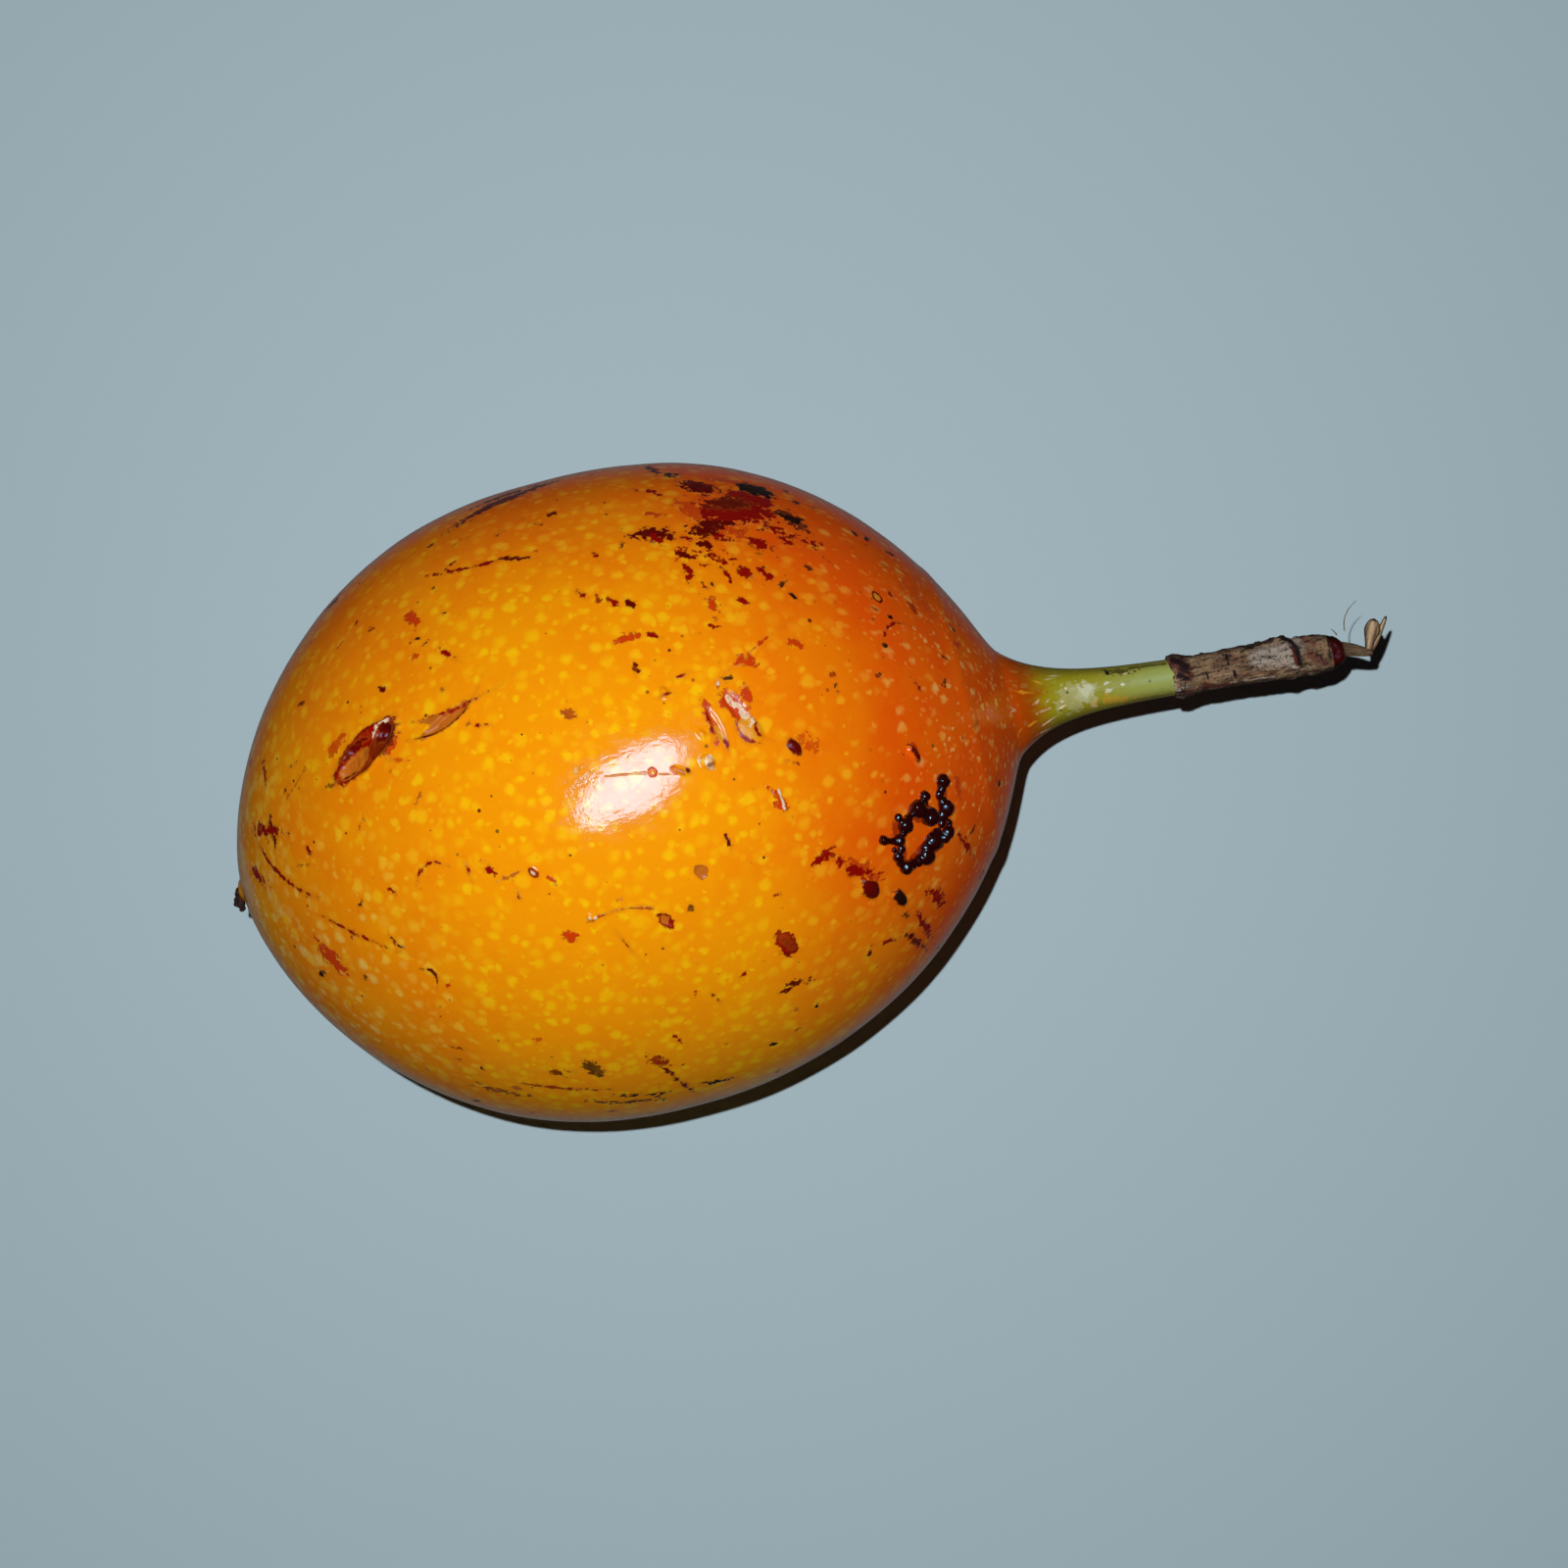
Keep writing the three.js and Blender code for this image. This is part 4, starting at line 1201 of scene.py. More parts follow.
    def store_growth(self, mesh: bpy.types.Mesh, points: Array) -> None:
        """Stores how ripe each place is, how green, how large its dots are and how they grew, with painted
        shade: deeper orange low on the flanks and darker sides of the neck.
        """
        values = {
            name: sum(math.prod(band.at(points) for band in term) for term in terms)
            for name, terms in GROWTH.items()
        }
        values["ripe_and_painted_shade"] = values["ripe_and_painted_shade"] + self.flushed(points)
        values["dot_size"] = values["dot_size"] + 1.0
        values["fleck_size"] = np.maximum(values["fleck_size"], values.pop("low_fleck_size"))
        # Painted shade: the neck darkens towards its left and right sides.
        beside = np.abs(points[:, 1] - self.shape.middle(points[:, 0])[:, 1])
        beside /= np.maximum(self.shape.skin_radius(points[:, 0]), 0.1)
        values["painted_neck_side_shade"] = self.neck_shade * ease(beside, 0.45, 0.95)
        for name in ("ripe_and_painted_shade", "creamy"):
            values[name] = np.clip(values[name], 0.0, 1.0)
        for name, value in values.items():
            point_values(mesh, name, value)
        grown = points.copy()
        start, soft, share = self.dot_stretch
        grown[:, 0] -= share * soft_ramp(points[:, 0] - start, soft)
        store = mesh.attributes.new("grown", "FLOAT_VECTOR", "POINT")
        store.data.foreach_set("vector", grown.astype(np.float32).ravel())


class BeadTree(NodeSheet):
    """A geometry tree that sets a lump on each point of a mesh, of the size stored there."""

    def __init__(self, name: str, finish: bpy.types.Material) -> None:
        """Writes the tree, with named inputs for how fine and how lumpy the beads are."""
        tree = bpy.data.node_groups.new(name, "GeometryNodeTree")
        super().__init__(tree)
        tree.interface.new_socket("Points", in_out="INPUT", socket_type="NodeSocketGeometry")
        self.fineness = tree.interface.new_socket("Fineness", in_out="INPUT", socket_type="NodeSocketInt")
        self.lumpiness = tree.interface.new_socket("Lumpiness", in_out="INPUT", socket_type="NodeSocketFloat")
        self.grain = tree.interface.new_socket("Grain", in_out="INPUT", socket_type="NodeSocketFloat")
        tree.interface.new_socket("Beads", in_out="OUTPUT", socket_type="NodeSocketGeometry")
        source = self.node("NodeGroupInput").outputs
        ball = self.node("GeometryNodeMeshIcoSphere", {"Radius": 1.0, "Subdivisions": source[1]}).outputs[0]
        size = self.node("GeometryNodeInputNamedAttribute", {0: "bead_size"}, data_type="FLOAT").outputs[0]
        turns = {0: (0.0, 0.0, 0.0), 1: (6.28, 6.28, 6.28), "Seed": 7}
        turn = self.node("FunctionNodeRandomValue", turns, data_type="FLOAT_VECTOR").outputs[0]
        copies = self.node(
            "GeometryNodeInstanceOnPoints",
            {"Points": source[0], "Instance": ball, "Rotation": turn, "Scale": size},
        ).outputs[0]
        real = self.node("GeometryNodeRealizeInstances", {0: copies}).outputs[0]
        place = self.node("GeometryNodeInputPosition").outputs[0]
        lumps = {"Vector": place, "Scale": source[3], "Detail": 2.0}
        bumps = self.node("ShaderNodeTexNoise", lumps).outputs[0]
        height = self.node("ShaderNodeMath", {0: bumps, 1: 0.5}, operation="SUBTRACT").outputs[0]
        height = self.node("ShaderNodeMath", {0: height, 1: source[2]}, operation="MULTIPLY").outputs[0]
        out = self.node("GeometryNodeInputNormal").outputs[0]
        offset = self.node("ShaderNodeVectorMath", {0: out, "Scale": height}, operation="SCALE").outputs[0]
        moved = self.node("GeometryNodeSetPosition", {"Geometry": real, "Offset": offset}).outputs[0]
        dressed = self.node("GeometryNodeSetMaterial", {"Geometry": moved, "Material": finish}).outputs[0]
        sink = self.node("NodeGroupOutput")
        tree.links.new(dressed, sink.inputs[0])

    def run(
        self, piece: bpy.types.Object, fineness: int, lumpiness: float, grain: float, voxel: float
    ) -> None:
        """Turns a piece's points to beads that have run together, as a plain mesh.

        Args:
            piece: The object whose vertices carry the beads; its mesh is replaced.
            fineness: Subdivisions of each bead.
            lumpiness: How far the noise moves a bead's surface.
            grain: How many features of that noise a millimetre has.
            voxel: The size of the cells that join the beads.
        """
        modifier = piece.modifiers.new("beads", "NODES")
        modifier.node_group = self.tree
        modifier[self.fineness.identifier] = fineness
        modifier[self.lumpiness.identifier] = lumpiness
        modifier[self.grain.identifier] = grain
        joined = piece.modifiers.new("joined", "REMESH")
        joined.mode = "VOXEL"
        joined.voxel_size = voxel
        joined.use_smooth_shade = True
        eased = piece.modifiers.new("eased", "SMOOTH")
        eased.factor = 0.5
        eased.iterations = 6
        evaluated = piece.evaluated_get(bpy.context.evaluated_depsgraph_get())
        mesh = bpy.data.meshes.new_from_object(evaluated)
        piece.modifiers.clear()
        piece.data = mesh
        mesh.shade_smooth()


@dataclass(frozen=True)
class GumFinish:
    """Hard dried gum: near-black maroon, glassy, redder where it thins out."""

    thick: Colour = (0.02, 0.0012, 0.0008)
    thin: Colour = (0.17, 0.01, 0.003)

    def build(self) -> bpy.types.Material:
        """Writes the gum's material."""
        shader = Shader("dried_gum")
        place = shader.millimetres()
        uneven = shader.rise(shader.noise(place, 0.5), 0.3, 0.7, 0.2, -0.2)
        share = shader.math("ADD", shader.attribute("thin"), uneven)
        wrinkles = shader.math("MULTIPLY", shader.noise(place, 0.25, 3.0), 0.03)
        return shader.surface(
            Base_Color=shader.mix(shader.rise(share, 0.2, 0.9), self.thick, self.thin),
            Roughness=shader.rise(shader.noise(place, 0.35), 0.35, 0.7, 0.3, 0.1),
            Normal=shader.bump(wrinkles),
            Coat_Weight=1.0,
            Coat_Roughness=0.05,
            IOR=1.53,
        )


@dataclass
class GumCrust:
    """The crust of dried gum on the shoulder: beads in a ring with arms, run together."""

    shape: FruitShape
    view: PhotoView
    beads: tuple[tuple[float, float, float], ...] = (
        (961, 796, 0.62), (960, 804, 0.4), (958, 810, 0.42), (961, 817, 0.45), (964, 823, 0.72),
        (961, 831, 0.5), (960, 839, 0.36), (966, 847, 0.6), (967, 838, 0.34), (963, 853, 0.5),
        (955, 850, 0.55), (951, 856, 0.8), (944, 864, 0.55), (943, 871, 0.78), (936, 877, 0.5),
        (930, 880, 0.44), (924, 883, 0.6), (918, 879, 0.42), (916, 873, 0.46), (919, 865, 0.36),
        (917, 856, 0.52), (921, 849, 0.36), (923, 841, 0.66), (926, 834, 0.4), (931, 828, 0.42),
        (936, 824, 0.78), (942, 828, 0.55), (948, 832, 0.8), (943, 819, 0.3), (943, 811, 0.46),
        (916, 833, 0.36), (911, 857, 0.3), (906, 857, 0.3), (901, 856, 0.44), (948, 876, 0.3),
        (957, 860, 0.42), (912, 866, 0.24), (928, 885, 0.3),
    )
    swell: float = 1.12
    sink: float = 0.4
    voxel: float = 0.07

    def build(self, finish: bpy.types.Material) -> bpy.types.Object:
        """Sets the beads on the shoulder and joins them."""
        sizes = np.array([bead[2] for bead in self.beads]) * self.swell
        places = np.array([self.view.on_rind(self.shape, (bead[0], bead[1])) for bead in self.beads])
        raise_by = sizes * (1.0 - 2.0 * self.sink) + 0.05
        points = self.shape.skin(places[:, 0], places[:, 1], raise_by)
        piece = mesh_object("gum_beads", points, [])
        point_values(piece.data, "bead_size", sizes)
        BeadTree("gum_beads", finish).run(piece, 3, 0.3, 1.3, self.voxel)
        vertices = np.array([vertex.co[:] for vertex in piece.data.vertices])
        height = -self.shape.depth_inside(vertices)
        point_values(piece.data, "thin", ease(height, 0.42, 0.05))
        finish_piece(piece, finish, "gum_crust")
        return piece


@dataclass(frozen=True)
class StyleFinish:
    """The withered flower's dry dark brown."""

    dark: Colour = (0.018, 0.007, 0.005)
    rusty: Colour = (0.13, 0.035, 0.012)

    def build(self) -> bpy.types.Material:
        """Writes the withered flower's material."""
        shader = Shader("withered_flower")
        place = shader.millimetres()
        fine = shader.noise(place, 0.3, 4.0, 0.7)
        return shader.surface(
            Base_Color=shader.mix(shader.rise(fine, 0.45, 0.75), self.dark, self.rusty),
            Roughness=shader.rise(fine, 0.3, 0.7, 0.9, 0.5),
            Normal=shader.bump(shader.math("MULTIPLY", fine, 0.15)),
        )


@dataclass
class WitheredStyle:
    """The withered remains of the flower on the nub: a crumpled crust of small lumps."""

    shape: FruitShape
    at: Pixel = (-36.3, -0.7)
    reach: float = 1.0
    lumps: int = 26
    voxel: float = 0.06

    def build(self, finish: bpy.types.Material) -> bpy.types.Object:
        """Heaps the lumps over the nub and joins them."""
        random = np.random.default_rng(5)
        turn = random.uniform(0.0, 2 * math.pi, self.lumps)
        out = self.reach * np.sqrt(random.uniform(0.0, 1.0, self.lumps))
        x = self.at[0] + random.uniform(-0.25, 0.4, self.lumps) + 0.25 * (out / self.reach) ** 2
        centre = self.shape.axis_height
        points = np.stack([x, self.at[1] + out * np.cos(turn), centre + out * np.sin(turn)], axis=1)
        piece = mesh_object("withered_flower", points, [])
        point_values(piece.data, "bead_size", random.uniform(0.18, 0.36, self.lumps))
        BeadTree("flower_lumps", finish).run(piece, 2, 0.3, 2.5, self.voxel)
        finish_piece(piece, finish, "withered_style")
        return piece


class BarkKind(Enum):
    """What a mark on the bark is; each is an attribute of its own."""

    CRACK = "crack"
    RED = "red"
    PALE = "pale"
    SPLINTER = "splinter"


@dataclass(frozen=True)
class BarkMark:
    """A crack, stain, pale patch or splinter of the bark, a band between two pixels."""

    start: Pixel
    end: Pixel
    width: float
    kind: BarkKind
    strength: float = 1.0


BARK_MARKS = (
    BarkMark((1246, 668), (1253, 669), 0.14, BarkKind.CRACK),
    BarkMark((1249, 668), (1251, 678), 0.2, BarkKind.CRACK),
    BarkMark((1265, 665), (1276, 661), 0.4, BarkKind.CRACK, 0.9),
    BarkMark((1229, 687), (1231, 694), 0.14, BarkKind.CRACK),
    BarkMark((1257, 686), (1259, 692), 0.16, BarkKind.CRACK),
    BarkMark((1208, 692), (1236, 686), 0.2, BarkKind.CRACK, 0.8),
    BarkMark((1212, 683), (1226, 680), 0.12, BarkKind.CRACK, 0.7),
    BarkMark((1196, 674), (1206, 680), 0.75, BarkKind.CRACK, 0.95),
    BarkMark((1199, 690), (1210, 693), 0.55, BarkKind.CRACK, 0.95),
    BarkMark((1202, 683), (1211, 688), 0.45, BarkKind.CRACK, 0.9),
    BarkMark((1194, 708), (1207, 706), 0.35, BarkKind.CRACK),
    BarkMark((1299, 652), (1314, 653), 0.5, BarkKind.CRACK),
    BarkMark((1313, 653), (1319, 660), 0.4, BarkKind.CRACK),
    BarkMark((1319, 660), (1322, 668), 0.36, BarkKind.CRACK),
    BarkMark((1322, 668), (1322, 678), 0.3, BarkKind.CRACK),
    BarkMark((1355, 647), (1370, 651), 0.6, BarkKind.CRACK, 0.95),
    BarkMark((1306, 688), (1319, 684), 0.2, BarkKind.CRACK, 0.7),
    BarkMark((1344, 670), (1348, 680), 0.22, BarkKind.CRACK, 0.8),
    BarkMark((1331, 655), (1342, 650), 0.16, BarkKind.CRACK, 0.7),
    BarkMark((1352, 652), (1354, 672), 0.16, BarkKind.CRACK, 0.9),
    BarkMark((1316, 661), (1319, 677), 0.4, BarkKind.RED),
    BarkMark((1200, 707), (1258, 698), 0.4, BarkKind.RED, 0.7),
    BarkMark((1228, 698), (1238, 700), 0.5, BarkKind.RED, 0.9),
    BarkMark((1252, 669), (1264, 674), 0.7, BarkKind.RED, 0.4),
    BarkMark((1328, 653), (1337, 657), 0.5, BarkKind.RED, 0.6),
    BarkMark((1334, 668), (1350, 678), 0.7, BarkKind.RED, 0.6),
    BarkMark((1196, 677), (1209, 689), 1.3, BarkKind.RED, 0.8),
    BarkMark((1262, 690), (1300, 686), 0.3, BarkKind.RED, 0.4),
    BarkMark((1284, 672), (1311, 667), 2.1, BarkKind.PALE, 0.7),
    BarkMark((1318, 651), (1325, 661), 0.6, BarkKind.PALE, 0.6),
    BarkMark((1195, 698), (1200, 705), 0.45, BarkKind.PALE),
    BarkMark((1202, 703), (1208, 701), 0.3, BarkKind.PALE, 0.7),
    BarkMark((1318, 673), (1319, 676), 0.2, BarkKind.PALE),
    BarkMark((1316, 680), (1319, 682), 0.25, BarkKind.PALE),
    BarkMark((1275, 694), (1298, 691), 0.16, BarkKind.PALE, 0.9),
    BarkMark((1255, 697), (1270, 695), 0.12, BarkKind.PALE, 0.6),
    BarkMark((1326, 684), (1334, 682), 0.2, BarkKind.PALE, 0.8),
    BarkMark((1225, 667), (1227, 666), 0.14, BarkKind.SPLINTER),
    BarkMark((1247, 663), (1248, 662), 0.12, BarkKind.SPLINTER),
    BarkMark((1281, 657), (1285, 655), 0.16, BarkKind.SPLINTER, 0.7),
    BarkMark((1302, 651), (1310, 649), 0.3, BarkKind.SPLINTER, 0.8),
    BarkMark((1319, 648), (1322, 647), 0.12, BarkKind.SPLINTER, 0.7),
)


@dataclass(frozen=True)
class BarkFinish:
    """Rough bark: grey-brown with fibres along it, dark cracks and a maroon band before the end, with painted
    shade: lighter on top and darker down its sides.
    """

    # dark is painted shade, the colour of the bark down its sides.
    dark: Colour = (0.06, 0.026, 0.012)
    brown: Colour = (0.15, 0.085, 0.042)
    tan: Colour = (0.27, 0.165, 0.085)
    pale: Colour = (0.42, 0.36, 0.31)
    fibre: Colour = (0.5, 0.4, 0.28)
    red: Colour = (0.13, 0.022, 0.012)
    crack: Colour = (0.012, 0.004, 0.003)
    maroon: Colour = (0.05, 0.002, 0.0015)
    fibre_height: float = 0.12
    speck_height: float = 0.05

    def build(self) -> bpy.types.Material:
        """Writes the bark's material."""
        shader = Shader("stalk_bark")
        place = shader.millimetres()
        fibres = shader.noise(shader.stretch(place, (0.14, 1.0, 1.0)), 0.3, 5.0, 0.7)
        patches = shader.noise(place, 1.6, 4.0, 0.6)
        specks = shader.noise(place, 0.22, 3.0, 0.6)
        # Painted shade: the bark is lighter on top and dark down its sides, where the maroon band turns black
        # too.
        painted_lit_top = shader.math("ADD", shader.attribute("painted_lit_top"), shader.rise(patches, 0.3, 0.7, 0.3, -0.3))
        colour = shader.mix(shader.rise(patches, 0.4, 0.6), self.brown, self.tan)
        colour = shader.mix(shader.rise(painted_lit_top, 0.1, 0.75), self.dark, colour)
        colour = shader.mix(shader.attribute("pale"), colour, self.pale)
        colour = shader.mix(shader.rise(fibres, 0.54, 0.72, 0.6), colour, self.fibre)
        colour = shader.mix(shader.attribute("red"), colour, self.red)
        colour = shader.mix(shader.rise(fibres, 0.49, 0.36, 0.9), colour, self.crack)
        colour = shader.mix(shader.rise(specks, 0.45, 0.35, 0.9), colour, self.crack)
        band = shader.mix(shader.rise(painted_lit_top, 0.2, 0.9), self.crack, self.maroon)
        colour = shader.mix(shader.attribute("band"), colour, band)
        colour = shader.mix(shader.attribute("crack"), colour, self.crack)
        height = shader.total((fibres, self.fibre_height), (specks, self.speck_height))
        glossy = shader.rise(shader.attribute("band"), 0.0, 1.0, 0.35, 1.0)
        return shader.surface(
            Base_Color=colour,
            Roughness=shader.math("MULTIPLY", shader.rise(fibres, 0.3, 0.7, 0.62, 0.9), glossy),
            Normal=shader.bump(height),
            Specular_IOR_Level=0.4,
        )


@dataclass(frozen=True)
class BarkSurface:
    """What the bark is like, with one number for each point of the stalk in every part."""

    cracks: Array
    flakes: Array
    ridge: Array
    groove: Array
    torn: Array
    waves: Array
    covers: dict[BarkKind, Array]


@dataclass
class WoodyStalk:
    """The bark-covered stalk: cracked, with a torn lip, the scar of a fallen leaf and a rough end."""

    shape: FruitShape
    view: PhotoView
    outline: tuple[Pixel, ...] = (
        (53.3, 1.9), (54.4, 2.0), (55.6, 1.78), (58.4, 1.74), (61.4, 1.82), (63.6, 1.92),
        (64.3, 2.05), (64.9, 1.86), (66.4, 1.94), (68.2, 1.68), (69.2, 1.2), (69.65, 0.7),
    )
    rings: int = 240
    sides: int = 150
    scar_at: float = 64.95
    scar_bow: float = 1.3
    scar_height: float = 0.32
    groove_depth: float = 0.22
    flake_height: float = 0.1
    crack_depth: float = 0.16
    torn_height: float = 0.22
    wave_height: float = 0.12
    mark_depth: float = 0.08
    splinter_height: float = 0.2
    lip: float = 0.45
    band_at: float = 68.75

    def on_bark(self, pixel: Pixel) -> Array:
        """The x and the distance round the stalk, from its top line, of the place that a pixel shows."""
        height = float(self.shape.middle(np.array([61.0]))[0, 2])
        place = self.view.on_level(pixel, height)
        radius = float(spline(self.outline, place[:1])[0])
        offset = place[1] - float(self.shape.middle(place[:1])[0, 1])
        return np.array([place[0], radius * math.asin(min(max(offset / radius, -1.0), 1.0))])

    def marked(self, kind: BarkKind, unrolled: Array, fray: Array) -> Array:
        """How strongly the marks of one kind cover each point.

        Args:
            kind: Which marks to take.
            unrolled: The x and the distance round the stalk of each point.
            fray: Noise that frays the marks' edges.

        Returns:
            A share from 0 to 1 for each point.
        """
        cover = np.zeros(len(unrolled))
        for mark in BARK_MARKS:
            if mark.kind is not kind:
                continue
            start, end = self.on_bark(mark.start), self.on_bark(mark.end)
            run = end - start
            share = np.clip((unrolled - start) @ run / float(run @ run), 0.0, 1.0)
            away = np.linalg.norm(unrolled - start - share[:, None] * run, axis=1)
            away += fray * (0.1 + 0.2 * mark.width)
            soft = 0.04 + (0.24 if kind is BarkKind.PALE else 0.08) * mark.width
            outer, inner = mark.width / 2 + soft, mark.width / 2 - soft
            cover = np.maximum(cover, mark.strength * ease(away, outer, inner))
        return cover

    def weathered(self, x: Array, turn: Array, base: Array) -> BarkSurface:
        """What the bark is like at each point.

        Args:
            x: The x of each point.
            turn: Its angle round the stalk, in radians.
            base: Its place on the stalk's smooth outline.

        Returns:
            The bark's cracks, flakes, scar, torn edge and marks.
        """
        unrolled = np.stack([x * 0.3, np.sin(turn) * 2.0, np.cos(turn) * 2.0], axis=1)
        fissures = 1.0 - np.abs(rough(unrolled, 1.1, 3, 2.0))
        flakes = rough(base, 0.9, 4, 9.0)
        around = spline(self.outline, x) * ((turn + math.pi) % (2 * math.pi) - math.pi)
        flat = np.stack([x, around], axis=1)
        scar_side = ease(np.cos(turn - math.radians(25.0)), 0.2, 0.6)
        past = x - self.scar_at + self.scar_bow * (1.0 - np.cos(turn + math.radians(20.0)))
        return BarkSurface(
            cracks=ease(fissures, 0.955, 0.998) * ease(rough(unrolled, 2.2, 2, 12.0), -0.15, 0.2),
            flakes=flakes,
            ridge=scar_side * ease(past, -1.3, 0.0) * ease(past, 0.12, 0.0),
            groove=scar_side * np.exp(-(((past - 0.22) / 0.22) ** 2)),
            torn=ease(x, 54.9, 53.5) * (0.5 + 0.5 * rough(unrolled, 0.8, 3, 4.0)),
            waves=rough(unrolled, 2.4, 2, 6.0),
            covers={kind: self.marked(kind, flat, flakes) for kind in BarkKind},
        )

    def lift(self, bark: BarkSurface) -> Array:
        """How far the bark stands out at each point."""
        lift = self.flake_height * bark.flakes - self.crack_depth * bark.cracks
        lift += self.scar_height * bark.ridge - self.groove_depth * bark.groove
        lift += self.torn_height * bark.torn + self.wave_height * bark.waves
        lift -= self.mark_depth * bark.covers[BarkKind.CRACK]
        return lift + self.splinter_height * bark.covers[BarkKind.SPLINTER]

    def torn_back(self, x: Array, angle: Array) -> Array:
        """How far the bark's torn edge at the neck draws back along the stalk."""
        edge = np.stack([angle / 40.0, angle * 0.0, angle * 0.0], axis=1)
        return np.clip(self.lip * rough(edge, 0.7, 3) * ease(x, 54.3, 53.3), 0.0, None)

    def values(self, x: Array, turn: Array, bark: BarkSurface) -> dict[str, Array]:
        """What the bark's material reads at each point."""
        red = bark.covers[BarkKind.RED]
        edge = ease(x, 55.4, 54.4) * ease(bark.flakes, -0.05, -0.3)
        lines = np.maximum.reduce([bark.cracks, bark.groove, edge]) * (1.0 - 0.8 * red)
        return {
            "crack": np.maximum.reduce([lines, bark.covers[BarkKind.CRACK], bark.covers[BarkKind.SPLINTER]]),
            "red": red,
            "pale": bark.covers[BarkKind.PALE],
            "band": ease(np.abs(x - self.band_at), 0.75, 0.55),
            # Painted light: 1 on the stalk's top, falling to 0 down its sides.
            "painted_lit_top": ease(np.cos(turn), 0.25, 0.9),
        }

    def build(self, finish: bpy.types.Material) -> bpy.types.Object:
        """Makes the stalk's rough surface and dresses it."""
        stations = np.linspace(self.outline[0][0], self.outline[-1][0], self.rings)
        angles = np.arange(self.sides) * 360.0 / self.sides
        x, angle = (values.ravel() for values in np.meshgrid(stations, angles, indexing="ij"))
        turn = np.radians(angle)
        around = np.stack([np.zeros_like(x), np.sin(turn), np.cos(turn)], axis=1)
        base = self.shape.middle(x) + around * spline(self.outline, x)[:, None]
        bark = self.weathered(x, turn, base)
        points = base + around * self.lift(bark)[:, None]
        points[:, 0] += self.torn_back(x, angle)
        rings = points.reshape(self.rings, self.sides, 3)
        piece = mesh_object("stalk_bark", with_ends(rings), ring_faces(self.rings, self.sides))
        for name, value in self.values(x, turn, bark).items():
            point_values(piece.data, name, np.append(value, [0.0, 0.0]))
        finish_piece(piece, finish, "woody_stalk")
        return piece


@dataclass(frozen=True)
class ScaleFinish:
    """Dry papery scales: tan with darker veins and burnt edges."""

    tan: Colour = (0.3, 0.19, 0.085)
    brown: Colour = (0.1, 0.05, 0.02)
    pale: Colour = (0.62, 0.45, 0.27)
    burnt: Colour = (0.022, 0.007, 0.004)

    def build(self) -> bpy.types.Material:
        """Writes the dry scales' material."""
        shader = Shader("dry_scale")
        lay = shader.attribute("lay", "Vector")
        veins = shader.noise(shader.stretch(lay, (0.12, 1.0, 1.0)), 0.14, 3.0, 0.6)
        colour = shader.mix(shader.rise(veins, 0.38, 0.6), self.brown, self.tan)
        colour = shader.mix(shader.attribute("pale"), colour, self.pale)
        colour = shader.mix(shader.attribute("burnt"), colour, self.burnt)
        return shader.surface(
            Base_Color=colour, Roughness=0.7, Normal=shader.bump(shader.math("MULTIPLY", veins, 0.12))
        )


@dataclass(frozen=True)
class Strand:
    """One dry strand of the shoot: its line in x, y and rise, its half widths and its half thickness."""

    line: tuple[tuple[float, float, float], ...]
    wide: tuple[float, ...]
    thick: float
    cup: float = 0.0
    wrinkle: float = 0.05
    stripe: float = 0.0
    weathered: float = 0.0


